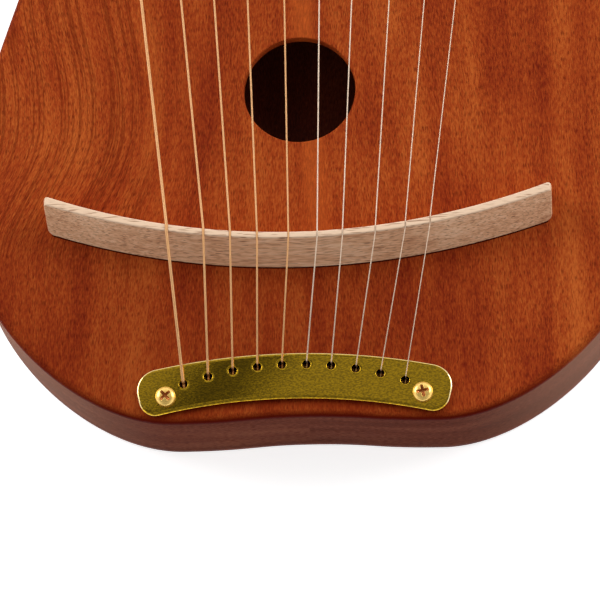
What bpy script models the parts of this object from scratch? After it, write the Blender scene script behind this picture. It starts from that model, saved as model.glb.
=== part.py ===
"""A ten-string lyre harp, lying on its flat back. Metres, +Z out of the soundboard, +Y towards the head.

Everything is drawn from the tail: x from the middle of the body's outline, y from the lowest point of the
two tail lobes, z from the flat back. One empty then centres the instrument on the origin.
"""

import math
from dataclasses import dataclass

import bmesh
import bpy
import numpy as np
from mathutils import Matrix, Vector

# Fit between glued or resting pieces, and round a piece that turns or passes through a hole
GAP = 0.0003
# Room under a pin or a screw in its blind hole
BLIND_HOLE_ROOM = 0.002

# Outline of the body, right half
BODY_LENGTH = 0.412
BODY_HALF_WIDTH = 0.122
BODY_WIDEST_Y = 0.080
LOBE_X = 0.0462
TAIL_DIP = 0.0019
WAIST_HALF_WIDTH = 0.093
WAIST_Y = 0.226
HORN_HALF_WIDTH = 0.108
HORN_TIP_X = 0.091
HORN_REACH = 0.052
HEAD_DIP = 0.013
# How far the handles of each of the outline's curves reach, after its start and before its end, as
# shares of its span: tail, lobe, lower arm, upper arm, horn and head
OUTLINE_HANDLE_SHARES = (
    (0.452, 0.523),
    (0.310, 0.361),
    (0.369, 0.336),
    (0.341, 0.371),
    (0.548, 0.201),
    (0.326, 0.544),
)

# Hand window between the arms, right half
WINDOW_LOW_Y = 0.196
WINDOW_HALF_LOW = 0.067
WINDOW_LOW_RISE = 0.044
WINDOW_HALF_TOP = 0.085
WINDOW_TOP_RISE = 0.026
HEAD_WIDTH = 0.049
WINDOW_HANDLE_SHARES = ((0.449, 0.349), (0.349, 0.419), (0.191, 0.720))

# Depths of the box
BODY_DEPTH = 0.038
SOUNDBOARD_THICKNESS = 0.0035
BACK_THICKNESS = 0.003
SIDE_WALL = 0.005
RAIL_DEPTH = 0.010
CAVITY_SHOULDER_DROP = 0.024
CAVITY_HANDLE_SHARES = ((0.25, 0.65),)
FRONT_ROUNDING = 0.0028
BACK_ROUNDING = 0.0012
WINDOW_ROUNDING = 0.0018

# Blocks and bars inside
RAIL_HALF_WIDTH = 0.050
HEAD_JOINT_DROP = 0.014
TAIL_BLOCK_HALF_WIDTH = 0.060
TAIL_BLOCK_TOP_Y = 0.034
BRACE_WIDTH = 0.007
BRACE_HEIGHT = 0.012
BRACE_END_HEIGHT = 0.004
BRACE_SCALLOP = 0.030
BRACE_END_ROOM = 0.0015
LOWER_BRACE_Y = 0.094
UPPER_BRACE_Y = 0.153
BACK_BRACE_Y = 0.084

# Sound hole
SOUND_HOLE_X = -0.0026
SOUND_HOLE_Y = 0.1232
SOUND_HOLE_RADIUS = 0.0200
SOUND_HOLE_EDGE = 0.0004
SOUND_HOLE_SIDES = 48

# Bridge, an arc that bends towards the head at both ends
BRIDGE_X = -0.0024
BRIDGE_Y = 0.0560
BRIDGE_HALF_LENGTH = 0.0890
BRIDGE_RADIUS = 0.270
BRIDGE_SKEW_DEGREES = 0.4
BRIDGE_HEIGHT = 0.014
BRIDGE_FOOT = 0.0117
BRIDGE_FRONT_SLOPE = 0.0062
BRIDGE_TOP_MIDDLE = 0.0020
BRIDGE_TOP_END = 0.0030
BRIDGE_END_TOP_CORNER = 0.0013
BRIDGE_END_FOOT_CORNER = 0.0024
BRIDGE_EDGE = 0.0004
BRIDGE_STATIONS = 24
BRIDGE_CORNER_STEPS = 4
NOTCH_DEPTH = 0.0005
NOTCH_REACH = 0.004
NOTCH_PITCH = 0.01015
NOTCH_ROW_X = -0.0006
# The strings are laid in by hand: how far each sits to the right of its even place on the bridge
NOTCH_DRIFT = (-0.0016, 0.0012, 0.0004, -0.0003, 0.0005, 0.0004, -0.0009, 0.0004, 0.0007, -0.0008)

# Brass tailpiece, an arc that bends the other way
TAILPIECE_X = -0.0040
TAILPIECE_Y = 0.0158
TAILPIECE_HALF_LENGTH = 0.0552
TAILPIECE_WIDTH = 0.0167
TAILPIECE_RADIUS = 0.225
TAILPIECE_THICKNESS = 0.0015
TAILPIECE_LOW_CORNER = 0.0060
TAILPIECE_HIGH_CORNER = 0.0080
TAILPIECE_ROUNDING = 0.0008
TAIL_HOLE_PITCH = 0.00857
TAIL_HOLE_Y = 0.0198
TAIL_HOLE_ARC_RADIUS = 0.118
TAIL_HOLE_RADIUS = 0.0015
TAIL_HOLE_BEVEL = 0.0003

# Wood screws that hold the tailpiece
SCREW_SPACING = 0.0894
SCREW_Y = 0.0087
SCREW_HEAD_RADIUS = 0.0035
SCREW_HEAD_HEIGHT = 0.0022
SCREW_HEAD_SIDE = 0.0005
SCREW_SHANK_RADIUS = 0.00165
SCREW_LENGTH = 0.020
SCREW_POINT = 0.004
SCREW_DOME_STEPS = 5
SCREW_DOME_FULLNESS = 0.7
SCREW_SIDES = 16
SCREW_CROSS_SPAN = 0.0040
SCREW_CROSS_WIDTH = 0.0008
SCREW_CROSS_DEPTH = 0.0012
LEFT_SCREW_TURN = 42.0
RIGHT_SCREW_TURN = 12.0

# Strings, from the bass side to the treble side
WOUND_STRING_DIAMETERS = (0.00105, 0.00080, 0.00072, 0.00066, 0.00060)
PLAIN_STRING_DIAMETERS = (0.00048, 0.00044, 0.00040, 0.00036, 0.00034)
STRING_BEND_STEPS = 3
# Turns of each string round its pin, with which every pin stopped at its own angle
WINDING_TURNS = (3.2, 2.9, 3.3, 3.0, 3.4, 3.1, 2.9, 3.3, 3.0, 3.2)
WINDING_SPACING = 0.00058
WINDING_POINTS_PER_TURN = 10
WINDING_MEASURE_STEP = 0.0002
BALL_RADIUS = 0.0019
BALL_LENGTH = 0.0036
BALL_WAIST_RADIUS = 0.0014
BALL_BORE_RADIUS = 0.0006
BALL_SIDES = 10
STRING_CHANNEL_RADIUS = 0.0028
STRING_CHANNEL_SIDES = 10

# Tuning pins
PIN_ROW_X = 0.0
PIN_ROW_DROP = 0.028
PIN_PITCH = 0.0185
PIN_ROW_RADIUS = 0.400
PIN_RADIUS = 0.0025
PIN_ABOVE_FACE = 0.021
PIN_IN_BLOCK = 0.022
PIN_SQUARE_WIDTH = 0.0046
PIN_SQUARE_TOP_WIDTH = 0.0038
PIN_SQUARE_LENGTH = 0.0085
PIN_POINT_RADIUS = 0.0017
PIN_POINT_LENGTH = 0.003
PIN_TOP_BEVEL = 0.0003
PIN_HOLE_HEIGHT = 0.0105
PIN_HOLE_RADIUS = 0.0008

# Facets of the other round forms
PIN_SIDES = 16
HOLE_SIDES = 12
SMALL_HOLE_SIDES = 8

# What follows from the string list
STRING_DIAMETERS = WOUND_STRING_DIAMETERS + PLAIN_STRING_DIAMETERS
STRING_COUNT = len(STRING_DIAMETERS)

# Places along the body that follow from its length
HEAD_TOP_Y = BODY_LENGTH - HEAD_DIP
HORN_Y = BODY_LENGTH - HORN_REACH
PIN_ROW_Y = HEAD_TOP_Y - PIN_ROW_DROP
WINDOW_TOP_Y = HEAD_TOP_Y - HEAD_WIDTH
WINDOW_TOP_SIDE_Y = WINDOW_TOP_Y - WINDOW_TOP_RISE
WINDOW_LOW_SIDE_Y = WINDOW_LOW_Y + WINDOW_LOW_RISE
HEAD_JOINT_Y = WINDOW_TOP_Y - HEAD_JOINT_DROP
CAVITY_SHOULDER_Y = WINDOW_LOW_Y - CAVITY_SHOULDER_DROP

# Heights that follow from the depths
SOUNDBOARD_LOW = BODY_DEPTH - SOUNDBOARD_THICKNESS
INSIDE_LOW = BACK_THICKNESS + GAP
INSIDE_HIGH = SOUNDBOARD_LOW - GAP
PLATE_LOW = BODY_DEPTH + GAP
PLATE_HIGH = PLATE_LOW + TAILPIECE_THICKNESS
BRIDGE_LOW = BODY_DEPTH + GAP


def clear_scene():
    for thing in list(bpy.data.objects):
        bpy.data.objects.remove(thing, do_unlink=True)


def linear(channel):
    share = channel / 255
    return share / 12.92 if share <= 0.04045 else ((share + 0.055) / 1.055) ** 2.4


def material(name, red, green, blue, roughness, metallic=0.0):
    """A Principled BSDF in the given screen colour."""
    made = bpy.data.materials.new(name)
    made.use_nodes = True
    shader = made.node_tree.nodes["Principled BSDF"]
    colour = (linear(red), linear(green), linear(blue), 1.0)
    shader.inputs["Base Color"].default_value = colour
    shader.inputs["Roughness"].default_value = roughness
    shader.inputs["Metallic"].default_value = metallic
    made.diffuse_color = colour
    return made


def place(name, mesh, surface, parent, location=(0, 0, 0), smooth_angle=35):
    """One named object of the harp, with its own material, parented to the harp's empty."""
    mesh.materials.clear()
    mesh.materials.append(surface)
    if smooth_angle:
        mesh.shade_smooth()
        mesh.set_sharp_from_angle(angle=math.radians(smooth_angle))
    thing = bpy.data.objects.new(name, mesh)
    bpy.context.scene.collection.objects.link(thing)
    thing.parent = parent
    thing.location = location
    return thing


# Plane curves


def bezier(start, start_handle, end_handle, end, steps):
    """Points of a cubic from start up to, but not at, its end."""
    found = []
    for step in range(steps):
        t = step / steps
        s = 1 - t
        found.append(s**3 * start + 3 * s * s * t * start_handle + 3 * s * t * t * end_handle + t**3 * end)
    return found


def direction(degrees):
    return Vector((math.cos(math.radians(degrees)), math.sin(math.radians(degrees))))


def path(stations, handles):
    """A smooth line through stations of (x, y, heading in degrees, steps to the next one)."""
    points = []
    for here, following, (after, before) in zip(stations, stations[1:], handles):
        start, end = Vector(here[:2]), Vector(following[:2])
        span = (end - start).length
        start_handle = start + direction(here[2]) * span * after
        end_handle = end - direction(following[2]) * span * before
        points += bezier(start, start_handle, end_handle, end, here[3])
    return points + [Vector(stations[-1][:2])]


def mirrored(half):
    """The closed loop made of a right half, drawn from lower to upper middle, and its mirror."""
    return half + [Vector((-p.x, p.y)) for p in reversed(half[1:-1])]


def shifted(points, distance):
    """An open line moved to its left by a distance."""
    moved = []
    for index, point in enumerate(points):
        before = points[max(index - 1, 0)]
        after = points[min(index + 1, len(points) - 1)]
        along = (after - before).normalized()
        moved.append(point + Vector((-along.y, along.x)) * distance)
    return moved


def shrunk(loop, distance):
    """A closed counterclockwise loop moved inwards by a distance."""
    moved = []
    for index, point in enumerate(loop):
        before = loop[index - 1]
        after = loop[(index + 1) % len(loop)]
        into = (point - before).normalized()
        out_of = (after - point).normalized()
        along = (into + out_of).normalized()
        reach = distance / max(along.dot(into), 0.5)
        moved.append(point + Vector((-along.y, along.x)) * reach)
    return moved


def trimmed(points, axis, limit, keep_above):
    """The part of an open line above or below a limit on one axis, with its cut end on the limit."""
    kept = []
    for here, following in zip(points, points[1:]):
        inside = (here[axis] >= limit) == keep_above
        if inside:
            kept.append(here.copy())
        if ((following[axis] >= limit) == keep_above) != inside:
            kept.append(here.lerp(following, (limit - here[axis]) / (following[axis] - here[axis])))
    if (points[-1][axis] >= limit) == keep_above:
        kept.append(points[-1].copy())
    return kept


def circle(x, y, radius, sides=HOLE_SIDES):
    turns = [2 * math.pi * step / sides for step in range(sides)]
    return [Vector((x + radius * math.cos(turn), y + radius * math.sin(turn))) for turn in turns]


def outline_half():
    stations = [
        (0, TAIL_DIP, 0, 5),
        (LOBE_X, 0, 0, 12),
        (BODY_HALF_WIDTH, BODY_WIDEST_Y, 90, 10),
        (WAIST_HALF_WIDTH, WAIST_Y, 90, 9),
        (HORN_HALF_WIDTH, HORN_Y, 90, 6),
        (HORN_TIP_X, BODY_LENGTH, 180, 7),
        (0, HEAD_TOP_Y, 180, 0),
    ]
    return path(stations, OUTLINE_HANDLE_SHARES)


def window_half():
    stations = [
        (0, WINDOW_LOW_Y, 0, 8),
        (WINDOW_HALF_LOW, WINDOW_LOW_SIDE_Y, 90, 6),
        (WINDOW_HALF_TOP, WINDOW_TOP_SIDE_Y, 90, 6),
        (0, WINDOW_TOP_Y, 180, 0),
    ]
    return path(stations, WINDOW_HANDLE_SHARES)


def cavity_half():
    """Inside of the sound box: a wall inside the outline, then over to the rail under the window."""
    side = shifted(outline_half(), SIDE_WALL)
    side[0].x = 0
    side = [point for point in side if point.y < CAVITY_SHOULDER_Y]
    heading = math.degrees(math.atan2(side[-1].y - side[-2].y, side[-1].x - side[-2].x))
    shoulder = (side[-1].x, side[-1].y, heading, 9)
    return side[:-1] + path([shoulder, (0, WINDOW_LOW_Y - RAIL_DEPTH, 180, 0)], CAVITY_HANDLE_SHARES)


def offset_from_middle(index):
    return index - (STRING_COUNT - 1) / 2


def tail_hole(index):
    x = offset_from_middle(index) * TAIL_HOLE_PITCH
    drop = TAIL_HOLE_ARC_RADIUS - math.sqrt(TAIL_HOLE_ARC_RADIUS**2 - x * x)
    return Vector((TAILPIECE_X + x, TAIL_HOLE_Y - drop))


def pin_place(index):
    x = offset_from_middle(index) * PIN_PITCH
    rise = PIN_ROW_RADIUS - math.sqrt(PIN_ROW_RADIUS**2 - x * x)
    return Vector((PIN_ROW_X + x, PIN_ROW_Y + rise))


def screw_place(side):
    return Vector((TAILPIECE_X + side * SCREW_SPACING / 2, SCREW_Y))


# Solids


@dataclass
class Hole:
    """An opening in a slab. With a floor it is blind, and it opens at the slab's high face."""

    loop: list
    floor: float | None = None
    low_edge: float = 0.0
    high_edge: float = 0.0
    steps: int = 1


def mesh_from(name, bm):
    bmesh.ops.recalc_face_normals(bm, faces=bm.faces)
    mesh = bpy.data.meshes.new(name)
    bm.to_mesh(mesh)
    bm.free()
    return mesh


def ring(bm, loop, z):
    return [bm.verts.new((point.x, point.y, z)) for point in loop]


def join_rings(bm, low, high):
    """Quads between two rings of the same number of points."""
    for index in range(len(low)):
        following = (index + 1) % len(low)
        bm.faces.new((low[index], low[following], high[following], high[index]))


def edges_of(bm, loops):
    found = []
    for loop in loops:
        for index in range(len(loop)):
            pair = (loop[index - 1], loop[index])
            found.append(bm.edges.get(pair) or bm.edges.new(pair))
    return found


def edge_steps(rounding, steps):
    """How far in and how far down each ring of a rounded edge lies, from the wall to the face."""
    if not rounding:
        return [(0, 0)]
    turns = [math.pi / 2 * step / steps for step in range(steps + 1)]
    return [(rounding * (1 - math.cos(turn)), rounding * (1 - math.sin(turn))) for turn in turns]


def wall(bm, loop, low, high, side, low_edge, high_edge, steps):
    """A wall round a loop with rounded edges. It returns the rings at its low and high faces."""
    rings = []
    for inset, depth in reversed(edge_steps(low_edge, steps)):
        rings.append(ring(bm, shrunk(loop, side * inset), low + depth))
    for inset, depth in edge_steps(high_edge, steps):
        rings.append(ring(bm, shrunk(loop, side * inset), high - depth))
    for lower, upper in zip(rings, rings[1:]):
        join_rings(bm, lower, upper)
    return rings[0], rings[-1]


def slab(name, outline, low, high, holes=(), low_edge=0.0, high_edge=0.0, steps=4):
    """A flat piece between two heights, with holes and rounded edges."""
    bm = bmesh.new()
    low_ring, high_ring = wall(bm, outline, low, high, 1, low_edge, high_edge, steps)
    low_loops, high_loops = [low_ring], [high_ring]
    for hole in holes:
        base = low if hole.floor is None else hole.floor
        hole_low, hole_high = wall(bm, hole.loop, base, high, -1, hole.low_edge, hole.high_edge, hole.steps)
        high_loops.append(hole_high)
        if hole.floor is None:
            low_loops.append(hole_low)
        else:
            bm.faces.new(hole_low)
    for loops in (low_loops, high_loops):
        bmesh.ops.triangle_fill(bm, use_beauty=True, use_dissolve=False, edges=edges_of(bm, loops))
    return mesh_from(name, bm)


def turned(name, profile, sides):
    """A solid turned about the Z axis from (radius, height) points. A zero radius closes an end."""
    bm = bmesh.new()
    rings = []
    for radius, height in profile:
        if radius == 0:
            rings.append([bm.verts.new((0, 0, height))])
        else:
            rings.append(ring(bm, circle(0, 0, radius, sides), height))
    for lower, upper in zip(rings, rings[1:]):
        if len(lower) > 1 and len(upper) > 1:
            join_rings(bm, lower, upper)
            continue
        tip, rim = (lower[0], upper) if len(lower) == 1 else (upper[0], lower)
        for index in range(sides):
            bm.faces.new((tip, rim[index - 1], rim[index]))
    if profile[0] == profile[-1]:
        bmesh.ops.remove_doubles(bm, verts=bm.verts, dist=0.00001)
    return mesh_from(name, bm)


def box_mesh(name, length, width, height):
    bm = bmesh.new()
    bmesh.ops.create_cube(bm, size=1)
    bmesh.ops.scale(bm, verts=bm.verts, vec=(length, width, height))
    return mesh_from(name, bm)


def cut(thing, name, tool_mesh, location, rotation=(0, 0, 0)):
    """Cuts a tool's shape out of a piece. The tool is placed in the piece's own frame."""
    tool = bpy.data.objects.new(name, tool_mesh)
    bpy.context.scene.collection.objects.link(tool)
    tool.parent = thing
    tool.location = location
    tool.rotation_euler = rotation
    tool.hide_render = True
    tool.display_type = "WIRE"
    modifier = thing.modifiers.new(name, "BOOLEAN")
    modifier.operation = "DIFFERENCE"
    modifier.object = tool


# Wooden body


def string_channels():
    """The channels that the strings are fed through from the back."""
    radius, sides = STRING_CHANNEL_RADIUS, STRING_CHANNEL_SIDES
    return [Hole(circle(*tail_hole(index), radius, sides)) for index in range(STRING_COUNT)]


def pilot_holes(floor=None):
    return [Hole(circle(*screw_place(side), SCREW_SHANK_RADIUS + GAP), floor) for side in (-1, 1)]


def pin_holes(floor=None):
    return [Hole(circle(*pin_place(index), PIN_RADIUS + GAP), floor) for index in range(STRING_COUNT)]


def make_plates(harp, mahogany):
    outline = mirrored(outline_half())
    window = mirrored(window_half())
    sound_hole = circle(SOUND_HOLE_X, SOUND_HOLE_Y, SOUND_HOLE_RADIUS, SOUND_HOLE_SIDES)
    front_holes = [Hole(window, None, 0, WINDOW_ROUNDING, 3), Hole(sound_hole, None, 0, SOUND_HOLE_EDGE, 2)]
    front_holes += string_channels() + pilot_holes() + pin_holes()
    front = slab("soundboard", outline, SOUNDBOARD_LOW, BODY_DEPTH, front_holes, 0, FRONT_ROUNDING)
    place("soundboard", front, mahogany, harp)
    back_holes = [Hole(window, None, BACK_ROUNDING, 0, 2)] + string_channels()
    back = slab("back_plate", outline, 0, BACK_THICKNESS, back_holes, BACK_ROUNDING, 0, 2)
    place("back_plate", back, mahogany, harp)


def make_rims(harp, mahogany):
    """Each half of the side, bent round the sound box and thickening into the solid arm."""
    arm_top = HEAD_JOINT_Y - GAP
    outside = trimmed(trimmed(outline_half(), 1, arm_top, False), 0, GAP / 2, True)
    arm_inside = trimmed(trimmed(window_half(), 1, arm_top, False), 0, RAIL_HALF_WIDTH, True)
    cavity = cavity_half()
    widest = max(range(len(cavity)), key=lambda index: cavity[index].x)
    cavity_side = trimmed(cavity[: widest + 1], 0, GAP / 2, True)
    cavity_side += trimmed(cavity[widest + 1 :], 0, RAIL_HALF_WIDTH, True)
    loop = outside + arm_inside[::-1] + cavity_side[::-1]
    mirror_loop = [Vector((-point.x, point.y)) for point in reversed(loop)]
    place("rim_right", slab("rim_right", loop, INSIDE_LOW, INSIDE_HIGH), mahogany, harp)
    place("rim_left", slab("rim_left", mirror_loop, INSIDE_LOW, INSIDE_HIGH), mahogany, harp)


def both_sides(half):
    """An open line from the left end of a half line's mirror, through the middle, to its right end."""
    return [Vector((-point.x, point.y)) for point in reversed(half[1:])] + half


def make_waist_rail(harp, mahogany):
    end = RAIL_HALF_WIDTH - GAP
    window = window_half()
    over = trimmed([point for point in window if point.y <= WINDOW_LOW_SIDE_Y], 0, end, False)
    cavity = cavity_half()
    widest = max(range(len(cavity)), key=lambda index: cavity[index].x)
    under = trimmed(cavity[widest:], 0, end, False)[::-1]
    loop = both_sides(under) + both_sides(over)[::-1]
    place("waist_rail", slab("waist_rail", loop, INSIDE_LOW, INSIDE_HIGH), mahogany, harp)


def make_tail_block(harp, wood):
    seat = shifted(cavity_half(), GAP)
    seat[0].x = 0
    seat = [point for point in seat if point.y < TAIL_BLOCK_TOP_Y]
    seat = trimmed(seat, 0, TAIL_BLOCK_HALF_WIDTH, False)
    corners = [Vector((sign * TAIL_BLOCK_HALF_WIDTH, TAIL_BLOCK_TOP_Y)) for sign in (1, -1)]
    floor = PLATE_HIGH - SCREW_LENGTH - BLIND_HOLE_ROOM
    holes = string_channels() + pilot_holes(floor)
    block = slab("tail_block", both_sides(seat) + corners, INSIDE_LOW, INSIDE_HIGH, holes)
    place("tail_block", block, wood, harp)


def make_pin_block(harp, wood):
    outside = trimmed(outline_half(), 1, HEAD_JOINT_Y, True)
    inside = trimmed(window_half(), 1, HEAD_JOINT_Y, True)
    loop = both_sides(outside[::-1])[::-1] + both_sides(inside[::-1])
    floor = BODY_DEPTH - PIN_IN_BLOCK - BLIND_HOLE_ROOM
    place("pin_block", slab("pin_block", loop, INSIDE_LOW, INSIDE_HIGH, pin_holes(floor)), wood, harp)


def cavity_half_width(y):
    """Least half width of the sound box over a bar's width at y."""
    widths = []
    for level in (y - BRACE_WIDTH / 2, y + BRACE_WIDTH / 2):
        side = [point for point in cavity_half() if point.x > RAIL_HALF_WIDTH]
        widths.append(trimmed(side, 1, level, False)[-1].x)
    return min(widths)


def make_brace(name, y, on_back, wood, harp):
    """A bar across the sound box, thinned at both ends, lying against one plate."""
    half = cavity_half_width(y) - BRACE_END_ROOM
    low = BRACE_HEIGHT - BRACE_END_HEIGHT
    under = [Vector((-half, low)), Vector((BRACE_SCALLOP - half, 0))]
    under += [Vector((half - BRACE_SCALLOP, 0)), Vector((half, low))]
    loop = under + [Vector((half, BRACE_HEIGHT)), Vector((-half, BRACE_HEIGHT))]
    mesh = slab(name, loop, -BRACE_WIDTH / 2, BRACE_WIDTH / 2)
    bar = place(name, mesh, wood, harp, smooth_angle=0)
    bar.rotation_euler = (-math.pi / 2 if on_back else math.pi / 2, 0, 0)
    bar.location = (0, y, INSIDE_LOW + BRACE_HEIGHT if on_back else INSIDE_HIGH - BRACE_HEIGHT)


# Bridge


def bridge_section(x):
    """Distances towards the head, at a place along the bridge, of its foot and top edges."""
    front = BRIDGE_RADIUS - math.sqrt(BRIDGE_RADIUS**2 - x * x)
    top = BRIDGE_TOP_MIDDLE + (BRIDGE_TOP_END - BRIDGE_TOP_MIDDLE) * (x / BRIDGE_HALF_LENGTH) ** 2
    crest = front + BRIDGE_FRONT_SLOPE
    return front, crest, crest + top, max(front + BRIDGE_FOOT, crest + top + GAP)


def bridge_stations():
    """Places along the bridge where its section is drawn, closer together round the corners of its ends."""
    found = {BRIDGE_HALF_LENGTH * (2 * step / BRIDGE_STATIONS - 1) for step in range(BRIDGE_STATIONS + 1)}
    room = max(BRIDGE_END_TOP_CORNER, BRIDGE_END_FOOT_CORNER)
    found = {x for x in found if abs(x) < BRIDGE_HALF_LENGTH - room}
    for corner in (BRIDGE_END_TOP_CORNER, BRIDGE_END_FOOT_CORNER):
        for step in range(BRIDGE_CORNER_STEPS + 1):
            x = BRIDGE_HALF_LENGTH - corner * (1 - math.sin(math.pi / 2 * step / BRIDGE_CORNER_STEPS))
            found |= {-x, x}
    return sorted(found)


def corner_depth(x, corner):
    """How far the bridge's rounded end corner has turned in at a place along it."""
    reach = max(0, corner - (BRIDGE_HALF_LENGTH - abs(x)))
    return corner - math.sqrt(max(0, corner**2 - reach**2))


def notch(index):
    """Where a string crosses, in the bridge's frame: x, and the front and back edges of the top."""
    x = NOTCH_ROW_X + offset_from_middle(index) * NOTCH_PITCH + NOTCH_DRIFT[index] - BRIDGE_X
    _, crest, back, _ = bridge_section(x)
    return x, crest, back


def bridge_matrix():
    turn = Matrix.Rotation(math.radians(BRIDGE_SKEW_DEGREES), 4, "Z")
    return Matrix.Translation((BRIDGE_X, BRIDGE_Y, BRIDGE_LOW)) @ turn


def string_radius(index):
    return STRING_DIAMETERS[index] / 2


def notch_height(index):
    """Height of a string's centre over the bridge's foot, as it lies in its notch."""
    return BRIDGE_HEIGHT - NOTCH_DEPTH + GAP + string_radius(index)


def make_bridge(harp, beech):
    bm = bmesh.new()
    sections = []
    for x in bridge_stations():
        foot_front, top_front, top_back, foot_back = bridge_section(x)
        low = corner_depth(x, BRIDGE_END_FOOT_CORNER)
        high = BRIDGE_HEIGHT - corner_depth(x, BRIDGE_END_TOP_CORNER)
        corners = []
        for foot, top, heights in ((foot_front, top_front, (low, high)), (foot_back, top_back, (high, low))):
            corners += [(foot + (top - foot) * z / BRIDGE_HEIGHT, z) for z in heights]
        sections.append([bm.verts.new((x, y, z)) for y, z in corners])
    for before, after in zip(sections, sections[1:]):
        join_rings(bm, before, after)
    bm.faces.new(sections[0])
    bm.faces.new(sections[-1])
    rounded = bm.edges.layers.float.new("bevel_weight_edge")
    for before, after in zip(sections, sections[1:]):
        for pair in zip(before, after):
            bm.edges.get(pair)[rounded] = 1
    bridge = place("bridge", mesh_from("bridge", bm), beech, harp)
    bridge.matrix_local = bridge_matrix()
    bevel = bridge.modifiers.new("edge_rounding", "BEVEL")
    bevel.width = BRIDGE_EDGE
    bevel.segments = 2
    bevel.limit_method = "WEIGHT"
    for index in range(STRING_COUNT):
        x, crest, back = notch(index)
        radius = string_radius(index) + GAP
        profile = [(0, -NOTCH_REACH), (radius, -NOTCH_REACH), (radius, NOTCH_REACH), (0, NOTCH_REACH)]
        tool = turned(f"notch_{index + 1}", profile, SMALL_HOLE_SIDES)
        location = (x, (crest + back) / 2, notch_height(index))
        cut(bridge, f"notch_{index + 1}", tool, location, (math.pi / 2, 0, 0))


# Tailpiece and its screws


def rounded_band(half_length, width, low_corner, high_corner, radius, long_steps=14, corner_steps=6):
    """A rounded rectangle, counterclockwise, bent so that its long middle line is an arc."""
    flat = []
    corners = ((1, -1, low_corner), (1, 1, high_corner), (-1, 1, high_corner), (-1, -1, low_corner))
    for quarter, (across, up, corner) in enumerate(corners):
        for step in range(corner_steps + 1):
            turn = math.pi / 2 * (quarter - 1 + step / corner_steps)
            u = across * (half_length - corner) + corner * math.cos(turn)
            flat.append((u, up * (width / 2 - corner) + corner * math.sin(turn)))
        if quarter % 2:
            for step in range(1, long_steps):
                flat.append((across * (half_length - corner) * (1 - 2 * step / long_steps), up * width / 2))
    bent = []
    for u, v in flat:
        turn = u / radius
        bent.append(Vector(((radius + v) * math.sin(turn), (radius + v) * math.cos(turn) - radius)))
    return bent


def make_tailpiece(harp, brass):
    corners = (TAILPIECE_LOW_CORNER, TAILPIECE_HIGH_CORNER)
    band = rounded_band(TAILPIECE_HALF_LENGTH, TAILPIECE_WIDTH, *corners, TAILPIECE_RADIUS)
    loop = [Vector((point.x + TAILPIECE_X, point.y + TAILPIECE_Y)) for point in band]
    holes = pilot_holes()
    for index in range(STRING_COUNT):
        holes.append(Hole(circle(*tail_hole(index), TAIL_HOLE_RADIUS), None, 0, TAIL_HOLE_BEVEL))
    plate = slab("tailpiece", loop, PLATE_LOW, PLATE_HIGH, holes, 0, TAILPIECE_ROUNDING, 3)
    place("tailpiece", plate, brass, harp)


def make_screws(harp, gold):
    shank_end = SCREW_POINT - SCREW_LENGTH
    profile = [(0, -SCREW_LENGTH), (SCREW_SHANK_RADIUS, shank_end)]
    profile += [(SCREW_SHANK_RADIUS, 0), (SCREW_HEAD_RADIUS, 0)]
    for step in range(SCREW_DOME_STEPS):
        turn = math.pi / 2 * step / SCREW_DOME_STEPS
        height = SCREW_HEAD_SIDE + (SCREW_HEAD_HEIGHT - SCREW_HEAD_SIDE) * math.sin(turn)
        profile.append((SCREW_HEAD_RADIUS * math.cos(turn) ** SCREW_DOME_FULLNESS, height))
    profile.append((0, SCREW_HEAD_HEIGHT))
    cross = ((SCREW_CROSS_SPAN, SCREW_CROSS_WIDTH), (SCREW_CROSS_WIDTH, SCREW_CROSS_SPAN))
    for name, side, angle in (("left", -1, LEFT_SCREW_TURN), ("right", 1, RIGHT_SCREW_TURN)):
        name = f"tailpiece_screw_{name}"
        centre = screw_place(side)
        mesh = turned(name, profile, SCREW_SIDES)
        screw = place(name, mesh, gold, harp, (centre.x, centre.y, PLATE_HIGH + GAP))
        screw.rotation_euler = (0, 0, math.radians(angle))
        for arm, (length, width) in enumerate(cross):
            tool = box_mesh(f"{name}_cross_{arm}", length, width, 2 * SCREW_CROSS_DEPTH)
            cut(screw, f"{name}_cross_{arm}", tool, (0, 0, SCREW_HEAD_HEIGHT))


# Strings


def winding_radius(index):
    """Radius of a string's centre line round its pin. Its chords stay clear of the pin."""
    return (PIN_RADIUS + GAP + string_radius(index)) / math.cos(math.pi / WINDING_POINTS_PER_TURN)


def winding_pitch(index):
    return STRING_DIAMETERS[index] + WINDING_SPACING


def crossing(index):
    """Where a string's centre line meets the front and the back edge of the bridge's top."""
    along, crest, back = notch(index)
    matrix = bridge_matrix()
    return [matrix @ Vector((along, edge, notch_height(index))) for edge in (crest, back)]


def run_to_pin(index):
    """Where a string's straight run from the bridge ends, and its angle there as seen from the pin."""
    crest_back = crossing(index)[1]
    pin = pin_place(index)
    reach = winding_radius(index)
    to_pin = pin - crest_back.xy
    lean = math.asin(reach / to_pin.length)
    run = Matrix.Rotation(lean, 2) @ to_pin.normalized()
    tangent = crest_back.xy + run * math.sqrt(to_pin.length_squared - reach**2)
    return tangent, math.atan2(tangent.y - pin.y, tangent.x - pin.x)


def winding_angle(index, turns):
    """Where a string is round its pin after so many turns. Seen from above it runs clockwise."""
    return run_to_pin(index)[1] - 2 * math.pi * turns


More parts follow.
